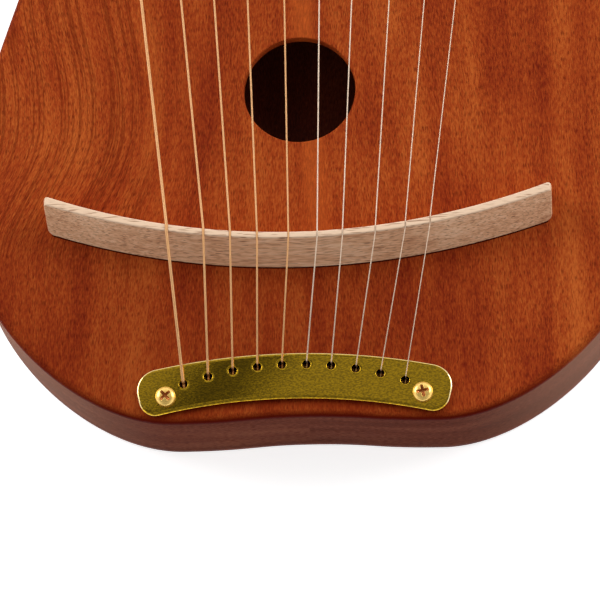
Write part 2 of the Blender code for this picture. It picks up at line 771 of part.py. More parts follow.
def string_line(index):
    """A string's centre line from under the tailpiece, over the bridge, to the end of its winding."""
    radius = string_radius(index)
    hole = tail_hole(index)
    crest_front, crest_back = crossing(index)
    towards = (crest_front.xy - hole).normalized()
    edge = hole + towards * TAIL_HOLE_RADIUS
    bend = GAP + radius
    rise = math.atan2(crest_front.z - PLATE_HIGH - bend, (crest_front.xy - edge).length)
    start = edge - towards * bend
    points = [Vector((start.x, start.y, PLATE_LOW))]
    for step in range(STRING_BEND_STEPS + 1):
        turn = (math.pi / 2 - rise) * step / STRING_BEND_STEPS
        bent = edge - towards * bend * math.cos(turn)
        points.append(Vector((bent.x, bent.y, PLATE_HIGH + bend * math.sin(turn))))
    points += [crest_front, crest_back]
    pin = pin_place(index)
    reach = winding_radius(index)
    low = BODY_DEPTH + PIN_HOLE_HEIGHT - WINDING_TURNS[index] * winding_pitch(index)
    steps = round(WINDING_TURNS[index] * WINDING_POINTS_PER_TURN)
    for step in range(steps + 1):
        turns = step / WINDING_POINTS_PER_TURN
        angle = winding_angle(index, turns)
        height = low + turns * winding_pitch(index)
        points.append(Vector((pin.x + reach * math.cos(angle), pin.y + reach * math.sin(angle), height)))
    return points


def least_gap(index, points):
    """Least gap of a winding's turns to each other and to the straight run, on close points."""
    pin = pin_place(index)
    close = []
    for here, following in zip(points, points[1:]):
        pieces = max(1, math.ceil((following - here).length / WINDING_MEASURE_STEP))
        close += [here.lerp(following, piece / pieces) for piece in range(pieces)]
    close = np.array([point for point in close if (point.xy - pin).length < 4 * PIN_RADIUS])
    apart = np.linalg.norm(close[:, None] - close[None], axis=2)
    half_turn = math.ceil(math.pi * PIN_RADIUS / WINDING_MEASURE_STEP)
    order = np.arange(len(close))
    far_along = np.abs(order[:, None] - order[None]) > half_turn
    return apart[far_along].min() - STRING_DIAMETERS[index]


def make_strings(harp, bronze, steel, brass):
    gaps = []
    ball_profile = [(BALL_BORE_RADIUS, -BALL_LENGTH / 2), (BALL_RADIUS, -BALL_LENGTH / 2)]
    ball_profile += [(BALL_WAIST_RADIUS, -BALL_LENGTH / 6), (BALL_WAIST_RADIUS, BALL_LENGTH / 6)]
    ball_profile += [(BALL_RADIUS, BALL_LENGTH / 2), (BALL_BORE_RADIUS, BALL_LENGTH / 2), ball_profile[0]]
    for index in range(STRING_COUNT):
        points = string_line(index)
        gaps.append(least_gap(index, points))
        curve = bpy.data.curves.new(f"string_{index + 1}", "CURVE")
        curve.dimensions = "3D"
        curve.bevel_depth = string_radius(index)
        curve.bevel_resolution = 1
        curve.use_fill_caps = True
        spline = curve.splines.new("POLY")
        spline.points.add(len(points) - 1)
        for knot, point in zip(spline.points, points):
            knot.co = (*point, 1)
        curve.materials.append(bronze if index < len(WOUND_STRING_DIAMETERS) else steel)
        string = bpy.data.objects.new(f"string_{index + 1}", curve)
        bpy.context.scene.collection.objects.link(string)
        string.parent = harp
        hole = tail_hole(index)
        mesh = turned(f"ball_end_{index + 1}", ball_profile, BALL_SIDES)
        ball = place(mesh.name, mesh, brass, harp, (hole.x, hole.y, PLATE_LOW - GAP - BALL_RADIUS))
        ball.rotation_euler = (0, math.pi / 2, 0)
    print(f"least gap between the turns of a string: {1000 * min(gaps):.2f} mm")


# Tuning pins


def squared(width):
    """A pin's ring of points pressed to a square of the given width, its corners left round."""
    points = []
    for point in circle(0, 0, PIN_RADIUS, PIN_SIDES):
        across = max(abs(point.x), abs(point.y))
        points.append(point * min(1, width / 2 / across))
    return points


def pin_mesh():
    """A tuning pin along Z, with height zero at the soundboard's face."""
    bm = bmesh.new()
    top = PIN_ABOVE_FACE
    rings = [
        ring(bm, circle(0, 0, PIN_POINT_RADIUS, PIN_SIDES), -PIN_IN_BLOCK),
        ring(bm, circle(0, 0, PIN_RADIUS, PIN_SIDES), PIN_POINT_LENGTH - PIN_IN_BLOCK),
        ring(bm, circle(0, 0, PIN_RADIUS, PIN_SIDES), top - PIN_SQUARE_LENGTH),
        ring(bm, squared(PIN_SQUARE_WIDTH), top - PIN_SQUARE_LENGTH + PIN_RADIUS - PIN_SQUARE_WIDTH / 2),
        ring(bm, squared(PIN_SQUARE_TOP_WIDTH), top - PIN_TOP_BEVEL),
        ring(bm, squared(PIN_SQUARE_TOP_WIDTH - 2 * PIN_TOP_BEVEL), top),
    ]
    for lower, upper in zip(rings, rings[1:]):
        join_rings(bm, lower, upper)
    bm.faces.new(rings[0])
    bm.faces.new(rings[-1])
    return mesh_from("tuning_pin", bm)


def make_pins(harp, steel):
    """Each pin stands where its string's winding ends at the mouth of its cross hole."""
    reach = 2 * PIN_RADIUS
    profile = [(0, -reach), (PIN_HOLE_RADIUS, -reach), (PIN_HOLE_RADIUS, reach), (0, reach)]
    for index in range(STRING_COUNT):
        name = f"tuning_pin_{index + 1}"
        pin = place(name, pin_mesh(), steel, harp, (*pin_place(index), BODY_DEPTH), smooth_angle=30)
        pin.rotation_euler = (0, 0, winding_angle(index, WINDING_TURNS[index]))
        tool = turned(f"{name}_string_hole", profile, SMALL_HOLE_SIDES)
        cut(pin, f"{name}_string_hole", tool, (0, 0, PIN_HOLE_HEIGHT), (0, math.pi / 2, 0))


def build():
    clear_scene()
    harp = bpy.data.objects.new("lyre_harp", None)
    bpy.context.scene.collection.objects.link(harp)
    harp.location = (0, -BODY_LENGTH / 2, 0)
    mahogany = material("mahogany", 132, 52, 24, 0.42)
    maple = material("maple", 196, 158, 112, 0.6)
    spruce = material("spruce", 214, 180, 130, 0.65)
    beech = material("beech", 214, 168, 132, 0.55)
    brass = material("brass", 168, 134, 42, 0.25, 1.0)
    gold = material("gold_screws", 214, 170, 84, 0.3, 1.0)
    bronze = material("bronze_string", 176, 130, 76, 0.35, 1.0)
    steel = material("steel", 172, 172, 176, 0.3, 1.0)
    make_plates(harp, mahogany)
    make_rims(harp, mahogany)
    make_waist_rail(harp, mahogany)
    make_tail_block(harp, maple)
    make_pin_block(harp, maple)
    make_brace("brace_lower", LOWER_BRACE_Y, False, spruce, harp)
    make_brace("brace_upper", UPPER_BRACE_Y, False, spruce, harp)
    make_brace("back_brace", BACK_BRACE_Y, True, spruce, harp)
    make_bridge(harp, beech)
    make_tailpiece(harp, brass)
    make_screws(harp, gold)
    make_strings(harp, bronze, steel, brass)
    make_pins(harp, steel)


build()
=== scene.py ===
# %% [markdown]
# # A ten-string lyre harp, dressed for a photograph
#
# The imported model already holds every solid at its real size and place. This lesson dresses it: each
# visible piece gets a finer surface, worked out with numpy, and a material made of nodes. The
# instrument lies on its back, +Y runs from the tail to the head, and +Z points out of the soundboard.

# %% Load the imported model
import math

import bmesh
import bpy
import numpy as np
from mathutils import Matrix, Vector


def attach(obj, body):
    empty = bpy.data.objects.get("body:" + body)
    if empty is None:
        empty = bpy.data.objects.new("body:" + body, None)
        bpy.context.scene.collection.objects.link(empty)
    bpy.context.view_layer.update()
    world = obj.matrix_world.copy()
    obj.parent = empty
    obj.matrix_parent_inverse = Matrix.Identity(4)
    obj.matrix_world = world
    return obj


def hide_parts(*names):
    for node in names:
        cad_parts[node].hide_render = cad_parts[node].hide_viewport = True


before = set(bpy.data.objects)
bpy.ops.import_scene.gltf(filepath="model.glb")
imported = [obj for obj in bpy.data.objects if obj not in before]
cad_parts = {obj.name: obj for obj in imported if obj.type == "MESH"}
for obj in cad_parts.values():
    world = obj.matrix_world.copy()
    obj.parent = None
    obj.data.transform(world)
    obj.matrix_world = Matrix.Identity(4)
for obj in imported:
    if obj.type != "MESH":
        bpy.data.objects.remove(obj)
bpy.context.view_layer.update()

# %% [markdown]
# ## The camera
#
# The photograph looks down on the lower third from beyond the tail, a little from the right, with the
# frame turned against the strings. A long lens over a metre away keeps the sides almost parallel. Three
# angles, a distance and the point in the middle of the picture say all of it: turn, tilt, roll, and
# step back along the view.

# %% Camera at the photograph's view
VIEW_AZIMUTH = math.radians(12.70)
VIEW_TILT = math.radians(19.09)
VIEW_ROLL = math.radians(13.22)
VIEW_DISTANCE = 1.225
PICTURE_MIDDLE = Vector((-0.00214, -0.16215, 0.038))
PICTURE_SIDE = 600
FOCAL_PIXELS = 3500
SENSOR = 36.0

camera_data = bpy.data.cameras.new("camera")
camera_data.sensor_width = SENSOR
camera_data.lens = SENSOR * FOCAL_PIXELS / PICTURE_SIDE
camera_data.clip_start = 0.05
camera = bpy.data.objects.new("camera", camera_data)
bpy.context.scene.collection.objects.link(camera)
view_turn = Matrix.Rotation(VIEW_AZIMUTH, 4, "Z") @ Matrix.Rotation(VIEW_TILT, 4, "X")
view_turn = view_turn @ Matrix.Rotation(-VIEW_ROLL, 4, "Z")
step_back = Matrix.Translation((0, 0, VIEW_DISTANCE))
camera.matrix_world = Matrix.Translation(PICTURE_MIDDLE) @ view_turn @ step_back
bpy.context.scene.camera = camera
print("lens:", round(camera_data.lens), "mm")

# %% [markdown]
# ## Recipes of nodes
#
# Every finish is a Principled shader fed by procedural textures on Object coordinates, which are plain
# metres here. A tree of nodes can be drawn by hand, but with these short calls it reads as a recipe.

# %% A short way to write nodes


def paint(red, green, blue):
    """A screen colour, 0 to 255 each, as the linear colour that shaders read."""
    share = np.array((red, green, blue)) / 255
    straight = np.where(share <= 0.04045, share / 12.92, ((share + 0.055) / 1.055) ** 2.4)
    return (*straight.tolist(), 1.0)


class Recipe:
    """A tree of nodes, with one short call for each kind that is used here."""

    def __init__(self, tree, place_output):
        self.nodes, self.links = tree.nodes, tree.links
        self.place = self.nodes.new("ShaderNodeTexCoord").outputs[place_output]

    def feed(self, socket, value):
        if isinstance(value, bpy.types.NodeSocket):
            self.links.new(value, socket)
        else:
            socket.default_value = value

    def add(self, kind, inputs, output=0, **settings):
        """Adds a node, feeds its inputs by name or number, and gives one of its outputs."""
        node = self.nodes.new(f"ShaderNode{kind}")
        for name, value in settings.items():
            setattr(node, name, value)
        for socket, value in inputs.items():
            self.feed(node.inputs[socket], value)
        return node.outputs[output]

    def attribute(self, name):
        return self.add("Attribute", {}, "Fac", attribute_name=name)

    def placed(self, vector, shift=(0, 0, 0), scale=(1, 1, 1)):
        """The same place, scaled and then moved: a larger scale packs a pattern closer."""
        return self.add("Mapping", {"Vector": vector, "Location": shift, "Scale": scale})

    def noise(self, vector, scale, detail=2.0, roughness=0.5):
        place = self.placed(vector, scale=scale)
        inputs = {"Vector": place, "Scale": 1.0, "Detail": detail, "Roughness": roughness}
        return self.add("TexNoise", inputs, "Fac")

    def work_out(self, operation, *values):
        return self.add("Math", dict(enumerate(values)), operation=operation)

    def size(self, value):
        """The value without its sign."""
        return self.work_out("ABSOLUTE", value)

    def product(self, first, *others):
        for other in others:
            first = self.work_out("MULTIPLY", first, other)
        return first

    def total(self, *parts):
        """Adds up parts, each a (value, weight) pair."""
        total = 0.0
        for value, weight in parts:
            total = self.work_out("MULTIPLY_ADD", value, weight, total)
        return total

    def joined(self, *parts):
        return self.add("CombineXYZ", dict(enumerate(parts)))

    def split(self, vector):
        """X, Y and Z of a vector."""
        return self.add("SeparateXYZ", {0: vector}, slice(3))

    def spread(self, value, low, high, new_low=0.0, new_high=1.0):
        """Stretches the range low to high over the new one, with soft ends."""
        inputs = dict(enumerate((value, low, high, new_low, new_high)))
        return self.add("MapRange", inputs, "Result", interpolation_type="SMOOTHSTEP")

    def mix(self, share, first, second, blend="MIX"):
        """A Mix node takes its two colours at inputs 6 and 7, and gives the result at output 2."""
        return self.add("Mix", {0: share, 6: first, 7: second}, 2, data_type="RGBA", blend_type=blend)

    def shades(self, value, *stops):
        """A run of colours: each stop is a place from 0 to 1 and a colour."""
        node = self.nodes.new("ShaderNodeValToRGB")
        ramp = node.color_ramp
        while len(ramp.elements) < len(stops):
            ramp.elements.new(0.5)
        for element, (position, colour) in zip(ramp.elements, stops):
            element.position = position
            element.color = colour
        self.feed(node.inputs["Fac"], value)
        return node.outputs["Color"]


class Finish(Recipe):
    """A Principled material on Object coordinates. Its constants are named as their sockets are."""

    def __init__(self, name, **constants):
        self.name, self.material = name, bpy.data.materials.new(name)
        self.material.use_nodes = True
        super().__init__(self.material.node_tree, "Object")
        self.shader = self.nodes["Principled BSDF"]
        for socket, value in constants.items():
            self.set(socket.replace("_", " "), value)

    def set(self, socket, value):
        self.feed(self.shader.inputs[socket], value)

    def bump(self, height, distance, strength=1.0):
        inputs = {"Height": height, "Distance": distance, "Strength": strength}
        self.set("Normal", self.add("Bump", inputs, "Normal"))


# %% [markdown]
# ## Light and floor
#
# The instrument lies on a white table. Bright walls stand beyond its head and at its sides, and the
# side of the viewer and the ceiling are dim. So the flat brass, which mirrors the ceiling, looks deep,
# with a bright far edge, a dark near edge and the dark patch of a beam. Lamps alone would leave metal
# black between their spots, so the world does most, and two wide, soft lamps add the rest.

# %% World, lamps and floor
WALL_LIGHT, VIEWER_SIDE_LIGHT, VIEWER_SIDE_END = 1.25, 0.27, -0.42
CEILING_LIGHT, CEILING_RISE, CEILING_LEAST, CEILING_MOST = 0.33, 1.2, 0.18, 1.1
CEILING_MIDDLE, WALL_TOP, CEILING_FOOT = 0.30, 0.35, 0.88
BEAM_LINE, BEAM_LIGHT, BEAM_HALF_WIDTH, BEAM_SOFT = (0.752, -0.660, 0.2667), 0.26, 0.0062, 0.006
LAMP_PLACES = (Vector((-1.20, 0.50, 0.9)), Vector((1.20, 0.50, 0.9)))
LAMP_AIM = Vector((0.0, -0.10, 0.0))
LAMP_SIDE, LAMP_POWER = 0.9, 12.5
FLOOR_SIDE, FLOOR_HEIGHT, FLOOR_GLOW = 12.0, -0.0002, 0.66

world = bpy.data.worlds.new("soft_studio")
bpy.context.scene.world = world
world.use_nodes = True
sky = Recipe(world.node_tree, "Generated")
sky_x, sky_y, sky_z = sky.split(sky.place)
wall_light = sky.spread(sky_y, -1.0, VIEWER_SIDE_END, VIEWER_SIDE_LIGHT, WALL_LIGHT)
ceiling = sky.total((sky.work_out("SUBTRACT", sky_y, CEILING_MIDDLE), CEILING_RISE), (CEILING_LIGHT, 1.0))
ceiling = sky.work_out("MINIMUM", sky.work_out("MAXIMUM", ceiling, CEILING_LEAST), CEILING_MOST)
beam_place = sky.size(sky.total(*zip((sky_x, sky_y, 1.0), BEAM_LINE)))
beam = sky.spread(beam_place, BEAM_HALF_WIDTH, BEAM_HALF_WIDTH + BEAM_SOFT, BEAM_LIGHT, 1.0)
ceiling_share = sky.spread(sky_z, WALL_TOP, CEILING_FOOT)
wall_share = sky.work_out("SUBTRACT", 1.0, ceiling_share)
sky_light = sky.total((sky.product(ceiling, beam), ceiling_share), (wall_light, wall_share))
sky.feed(sky.nodes["Background"].inputs["Strength"], sky_light)
sky.feed(sky.nodes["Background"].inputs["Color"], (1, 1, 1, 1))

for lamp_place in LAMP_PLACES:
    lamp_data = bpy.data.lights.new("wide_lamp", "AREA")
    lamp_data.size = LAMP_SIDE
    lamp_data.energy = LAMP_POWER
    lamp = bpy.data.objects.new("wide_lamp", lamp_data)
    lamp.location = lamp_place
    lamp.rotation_mode = "QUATERNION"
    lamp.rotation_quaternion = (LAMP_AIM - lamp_place).to_track_quat("-Z", "Y")
    bpy.context.scene.collection.objects.link(lamp)
bpy.context.scene.view_settings.view_transform = "Standard"

floor_finish = Finish("white_table", Roughness=0.7, Specular_IOR_Level=0.0)
floor_finish.set("Base Color", paint(243, 243, 243))
seen = floor_finish.nodes.new("ShaderNodeLightPath").outputs
seen_white = floor_finish.work_out("MAXIMUM", seen["Is Camera Ray"], seen["Is Glossy Ray"])
seen_white = floor_finish.work_out("MAXIMUM", seen_white, seen["Is Transmission Ray"])
floor_finish.set("Emission Color", (1, 1, 1, 1))
floor_finish.set("Emission Strength", floor_finish.product(seen_white, FLOOR_GLOW))
bpy.ops.mesh.primitive_plane_add(size=FLOOR_SIDE, location=(0, 0, FLOOR_HEIGHT))
floor = bpy.context.object
floor.name = "floor"
floor.data.materials.append(floor_finish.material)
print("lamps:", len(LAMP_PLACES), "of", LAMP_POWER, "watts")

# %% [markdown]
# ## Mahogany
#
# Broad, wavering bands run along the board, with longer fibres and dense short streaks in them, and
# open pores over them, fine dark dashes. Each is a noise stretched along the grain, and a slow noise
# first bends the coordinates, so that the bands waver. A wrapped picture would end at an edge, but
# noise fills the solid, and a hole cuts into it as a drill does. The lacquer sinks into the pores.

# %% Mahogany recipe
PORE_SHARE, PORE_COLOUR = 0.54, paint(80, 22, 7)


def mahogany(name, shades, grain, seed, specular, relief, marks_and_painted_light=None, swirl=0.020):
    """Wood along the Y axis of its grain coordinates, from dark, middle and light screen colours.

    relief is the depth and strength of the bump, and marks_and_painted_light a function that adds its own
    marks and its painted shade and sheen.
    """
    made = Finish(name, Specular_IOR_Level=specular)
    place = made.placed(grain(made), (seed, seed, 0))
    wander = made.noise(place, (9, 6, 9), detail=1.5)
    x, y, z = made.split(place)
    along = made.joined(made.total((wander, swirl), (x, 1.0)), y, z)
    bands = made.noise(along, (85, 7, 85), detail=3, roughness=0.6)
    clouds = made.noise(along, (26, 14, 26))
    fibres = made.noise(along, (1000, 60, 1000), roughness=0.6)
    streaks = made.noise(along, (2300, 560, 2300), detail=1.5, roughness=0.6)
    tone = made.total((bands, 0.34), (clouds, 0.25), (fibres, 0.08), (streaks, 0.33))
    dark, middle, light = (paint(*shade) for shade in shades)
    colour = made.shades(tone, (0.38, dark), (0.50, middle), (0.62, light))
    pores = made.noise(along, (3000, 400, 3000), detail=0.5)
    pore_room = made.noise(along, (90, 30, 90), detail=1.0)
    open_pore = made.spread(made.total((pores, 1.0), (pore_room, 0.18)), 0.62, 0.80)
    colour = made.mix(made.product(open_pore, PORE_SHARE), colour, PORE_COLOUR)
    if marks_and_painted_light:
        colour = marks_and_painted_light(made, colour, along)
    made.set("Base Color", colour)
    made.set("Roughness", made.spread(fibres, 0.2, 0.8, 0.40, 0.54))
    made.bump(made.total((open_pore, -1.0), (fibres, 0.25)), *relief)
    return made


# %% [markdown]
# The soundboard has marks of its own: figure lines where a branch once made the grain lean, a pale
# stripe below the sound hole, and a stained rounded edge. Painted shade joins them: the tail is painted
# darker, as if the light fell off towards it, and a painted shadow lies along the brass plate's near
# edge. Each is a mix of colour, held in its place by soft limits across and along the board.

# %% Front and back wood
LEAN_X, LEAN_Y, LEAN_BACK_Y = (-0.066, -0.020), (-0.146, -0.094), (-0.088, -0.036)
LEAN, LEAN_BACK = 0.014, -0.008
FIGURE_X, FIGURE_Y = (-0.066, -0.048), (-0.165, -0.128)
FIGURE_SHARE, FIGURE_COLOUR = 0.46, paint(92, 26, 7)
STRIPE_LINE, STRIPE_REACH, STRIPE_Y = (1.0, 0.0667, 0.0049), (0.001, 0.0065), (-0.150, -0.142)
STRIPE_SHARE, STRIPE_COLOUR = 0.7, paint(135, 70, 23)
# Painted shade: the board is darker towards the tail, as if the light fell off there.
TAIL_X, TAIL_Y, TAIL_SHADE_SHARE, TAIL_SHADE_COLOUR = (0.010, 0.080), (-0.200, -0.105), 0.32, paint(92, 22, 4)
# Painted shadow of the brass plate: a dark band on the board along the plate's near edge.
TO_PLATE_CENTRE, PLATE_NEAR_EDGE, PLATE_SHADOW_REACH = (0.0040, 0.4152, 0.0), 0.21665, 0.0035
PLATE_SHADOW_X, PLATE_SHADOW_SHARE, PLATE_SHADOW_COLOUR = (0.046, 0.056), 0.6, paint(78, 9, 0)
EDGE_X, EDGE_FULL, EDGE_COLOUR = (0.060, 0.100), 0.6, paint(84, 12, 1)


def flat_grain(made):
    return made.place


def leaning_grain(made):
    """X less a reach that grows and then falls again along the board, on its left side only."""
    x, y, z = made.split(made.place)
    reach = made.total((made.spread(y, *LEAN_Y), LEAN), (made.spread(y, *LEAN_BACK_Y), LEAN_BACK))
    leaning = made.product(made.spread(x, *LEAN_X, 1.0, 0.0), reach)
    return made.joined(made.total((leaning, -1.0), (x, 1.0)), y, z)


def board_marks_and_shade(made, colour, along):
    """Mixes each mark, and each painted shade and shadow, into the colour by the product of its soft limits.
    """
    x, y, _ = made.split(made.place)
    figure = made.spread(made.noise(along, (1150, 12, 1150), detail=1.5), 0.52, 0.60)
    room = made.product(made.spread(x, *FIGURE_X, 1.0, 0.0), made.spread(y, *FIGURE_Y), FIGURE_SHARE)
    colour = made.mix(made.product(figure, room), colour, FIGURE_COLOUR)

    stripe = made.size(made.total(*zip((x, y, 1.0), STRIPE_LINE)))
    stripe = made.product(made.spread(stripe, *STRIPE_REACH, STRIPE_SHARE, 0.0), made.spread(y, *STRIPE_Y))
    colour = made.mix(stripe, colour, STRIPE_COLOUR, blend="ADD")

    # Painted shade towards the tail, on the left and in the middle.
    tail = made.product(made.spread(y, *TAIL_Y, TAIL_SHADE_SHARE, 0.0), made.spread(x, *TAIL_X, 1.0, 0.0))
    colour = made.mix(tail, colour, TAIL_SHADE_COLOUR)

    # Painted shadow: the board darkens just outside the plate's near edge.
    plate_x, plate_y, _ = made.split(made.placed(made.place, TO_PLATE_CENTRE))
    squares = made.total((made.product(plate_x, plate_x), 1.0), (made.product(plate_y, plate_y), 1.0))
    reach = made.work_out("SQRT", squares)
    plate_shadow = made.spread(reach, PLATE_NEAR_EDGE - PLATE_SHADOW_REACH, PLATE_NEAR_EDGE)
    plate_shadow_end = made.spread(reach, PLATE_NEAR_EDGE + PLATE_SHADOW_REACH, PLATE_NEAR_EDGE + 3 * PLATE_SHADOW_REACH, 1.0, 0.0)
    plate_shadow = made.product(plate_shadow, plate_shadow_end, made.spread(made.size(plate_x), *PLATE_SHADOW_X, PLATE_SHADOW_SHARE, 0.0))
    colour = made.mix(plate_shadow, colour, PLATE_SHADOW_COLOUR)

    edge = made.spread(made.attribute("edge_stain"), 0.0, EDGE_FULL)
    return made.mix(made.product(edge, made.spread(made.size(x), *EDGE_X, 1.0, 0.5)), colour, EDGE_COLOUR)


lacquer_relief = (0.00006, 0.5)
front_shades = ((113, 32, 15), (151, 60, 23), (179, 88, 36))
front = mahogany("mahogany_front", front_shades, leaning_grain, 12.5, 0.012, lacquer_relief, board_marks_and_shade)
back_shades = ((86, 32, 16), (118, 50, 28), (150, 74, 44))
back = mahogany("mahogany_back", back_shades, flat_grain, 9.7, 0.05, lacquer_relief)
print("nodes in the front wood:", len(front.nodes))

# %% [markdown]
# The side is the same wood, but its grain runs round the instrument. Its meshes carry how far along
# the wall each point lies, and the recipe reads that in place of Y. Where it is widest, painted light
# and sheen make it paler, as the side lamps would.

# %% Side wood
BOUT_SHEEN_X, BOUT_SHEEN_COLOUR = (0.045, 0.105), paint(102, 82, 68)


def wall_grain(made):
    height = made.split(made.place)[2]
    return made.joined(height, made.attribute("around"), 0.0)


# Painted light and sheen: the side is lightened where it turns towards the side lamps.
def painted_bout_sheen(made, colour, _):
    bout = made.spread(made.size(made.split(made.place)[0]), *BOUT_SHEEN_X)
    return made.mix(bout, colour, BOUT_SHEEN_COLOUR, blend="ADD")


side_shades = ((76, 33, 21), (106, 53, 38), (136, 79, 58))
side = mahogany("mahogany_side", side_shades, wall_grain, 5.3, 0.004, (0.00004, 0.4), painted_bout_sheen, 0.004)
print("nodes in the side wood:", len(side.nodes))

# %% [markdown]
# ## Beech, maple and spruce
#
# The bridge is bare beech: pale, pinkish, and known by short dark flecks along the bar. Its top is
# painted paler than its front, a painted highlight where it faces the light. The blocks and braces
# inside are raw too, so one recipe serves all three woods.

# %% Pale woods


def pale_wood(name, shades, fleck_colour, fleck_share, roughness, crest=None):
    """Bare wood with its grain along X: soft bands, fine fibres and short dark flecks.

    crest is a height and a colour: above it the wood is painted paler, a painted highlight on the top.
    """
    made = Finish(name, Roughness=roughness, Specular_IOR_Level=0.3)
    x, y, z = made.split(made.place)
    grain = made.joined(y, x, z)
    bands = made.noise(grain, (420, 22, 420), detail=3, roughness=0.6)
    fibres = made.noise(grain, (2200, 170, 2200))
    clouds = made.noise(grain, (60, 30, 60), detail=1)
    tone = made.total((bands, 0.34), (fibres, 0.44), (clouds, 0.22))
    dark, middle, light = (paint(*shade) for shade in shades)
    colour = made.shades(tone, (0.39, dark), (0.50, middle), (0.61, light))
    if crest:
        colour = made.mix(made.spread(z, crest[0] - 0.0006, crest[0]), colour, paint(*crest[1]))
    flecks = made.spread(made.noise(grain, (3300, 210, 3300), detail=0.5), 0.57, 0.72)
    made.set("Base Color", made.mix(made.product(flecks, fleck_share), colour, paint(*fleck_colour)))
    made.bump(made.work_out("SUBTRACT", fibres, flecks), 0.00004, 0.5)
    return made


# The bridge's top is painted paler than its front: a painted highlight where the top faces the light.
BEECH_LIT_TOP = 0.0521, (228, 196, 166)
beech_shades = ((204, 150, 112), (231, 183, 143), (245, 206, 170))
beech = pale_wood("beech", beech_shades, (144, 94, 64), 0.75, 0.6, BEECH_LIT_TOP)
maple = pale_wood("maple", ((176, 140, 98), (196, 160, 116), (212, 180, 136)), (150, 110, 70), 0.3, 0.65)
spruce = pale_wood("spruce", ((190, 152, 104), (212, 178, 130), (226, 198, 152)), (170, 128, 80), 0.3, 0.7)
print("nodes in the beech:", len(beech.nodes))

# %% [markdown]
# ## Brass, steel and the wound strings
#
# The tailpiece is polished brass. A polished plate is never quite flat: a faint waviness, like the skin
# of an orange, makes its reflections tremble, and fine grain breaks up its colour. The bass strings
# carry a fine winding wire. Modelled, it would take a million faces, so its ridges are bump, worked out
# from how far along the string a point lies.

# %% Metals
WINDING_WIRE = 0.00016


def metal(name, colour, roughness, waves=None, uneven=0.0, grain=0.0, marks_and_painted_light=None, **constants):
    """Polished metal. waves: their size and height. marks_and_painted_light: an attribute, its colour and
    where it ends, used to paint a highlight on the brass and shade in the screws' recess.
    """
    made = Finish(name, **{"Roughness": roughness, "Metallic": 1.0, **constants})
    full, dull, grained = (paint(*[share * part for part in colour]) for share in (1, 0.94, 1 - grain))
    cloud = made.noise(made.place, (90, 90, 90), detail=3)
    shade = made.mix(cloud, dull, full)
    if grain:
        lines = made.noise(made.place, (1100, 2500, 1100), detail=1.5, roughness=0.7)
        shade = made.mix(made.spread(lines, 0.34, 0.66), shade, grained)
    if marks_and_painted_light:
        shade = made.mix(made.spread(made.attribute(marks_and_painted_light[0]), 0.0, marks_and_painted_light[2]), shade, paint(*marks_and_painted_light[1]))
    made.set("Base Color", shade)
    if uneven:
        made.set("Roughness", made.spread(cloud, 0.3, 0.7, roughness - uneven, roughness + uneven))
    if waves:
        made.bump(made.noise(made.place, [1 / waves[0]] * 3, roughness=0.55), waves[1])
    return made


# The brass's rounded far edge is painted pale by its edge attribute: a painted highlight, faded out on the
# near side.
brass = metal(
    "tailpiece_brass", (248, 196, 26), 0.045, (0.0006, 0.0000018), uneven=0.01, grain=0.30,
    marks_and_painted_light=("edge_stain", (240, 218, 158), 0.1), Coat_Weight=0.4, Coat_Roughness=0.05
)
# The cross recess is painted brown by its depth: painted shade in the recess.
gold = metal(
    "screw_brass", (252, 208, 112), 0.24, (0.0006, 0.000004), uneven=0.04,
    marks_and_painted_light=("recess", (186, 108, 44), 0.5), Metallic=0.6, Coat_Weight=0.2, Coat_Roughness=0.1
)
# The ball ends are painted dark brown: painted shade, so that the holes over them look dark.
ball_brass = metal("ball_brass", (84, 60, 34), 0.45, uneven=0.05)
steel = metal("steel_string", (208, 184, 160), 0.40, uneven=0.05, Metallic=0.45)
pin_steel = metal("pin_steel", (190, 190, 192), 0.24, (0.002, 0.000004), uneven=0.06)

bronze = metal("bronze_string", (208, 155, 101), 0.45, uneven=0.05, Metallic=0.4)
ridge_phase = bronze.product(bronze.attribute("along"), 2 * math.pi / WINDING_WIRE)
bronze.bump(bronze.size(bronze.work_out("SINE", ridge_phase)), 0.00001, 0.4)
print("nodes in the brass:", len(brass.nodes))

# %% [markdown]
# ## Surfaces on a grid
#
# Almost every surface here is a grid: rings of points, each joined to the next by quads. One function
# lists the quads, one makes the mesh, one shades it, and one puts it in the scene and prints its size.

# %% Grid helpers
SMOOTH_ANGLE = 38.0


def unit(vectors):
    return vectors / np.linalg.norm(vectors, axis=-1, keepdims=True)


def full_turn(sides):
    return np.arange(sides) * 2 * math.pi / sides


def quads(rows, columns, rows_closed=False):
    """Corner numbers of the quads between closed rings. Counterclockwise rings, going up, face outwards."""
    index = np.arange(rows * columns).reshape(rows, columns)
    index = np.hstack([index, index[:, :1]])
    if rows_closed:
        index = np.vstack([index, index[:1]])
    corners = (index[:-1, :-1], index[:-1, 1:], index[1:, 1:], index[1:, :-1])
    return np.stack(corners, axis=-1).reshape(-1, 4).tolist()


def mesh_of(name, points, faces, attributes=None):
    """A mesh from an array of points, lists of corner numbers, and a number at each point by name."""
    mesh = bpy.data.meshes.new(name)
    mesh.from_pydata(np.asarray(points, float).reshape(-1, 3).tolist(), [], faces)
    for label, values in (attributes or {}).items():
        layer = mesh.attributes.new(label, "FLOAT", "POINT")
        layer.data.foreach_set("value", np.asarray(values, np.float32).ravel())
    return mesh


def finished(mesh, angle=SMOOTH_ANGLE):
    """Turns all faces outwards, then shades the mesh smooth except across sharp corners."""
    bm = bmesh.new()
    bm.from_mesh(mesh)
    bmesh.ops.recalc_face_normals(bm, faces=bm.faces)
    bm.to_mesh(mesh)
    bm.free()
    mesh.shade_smooth()
    mesh.set_sharp_from_angle(angle=math.radians(angle))
    return mesh


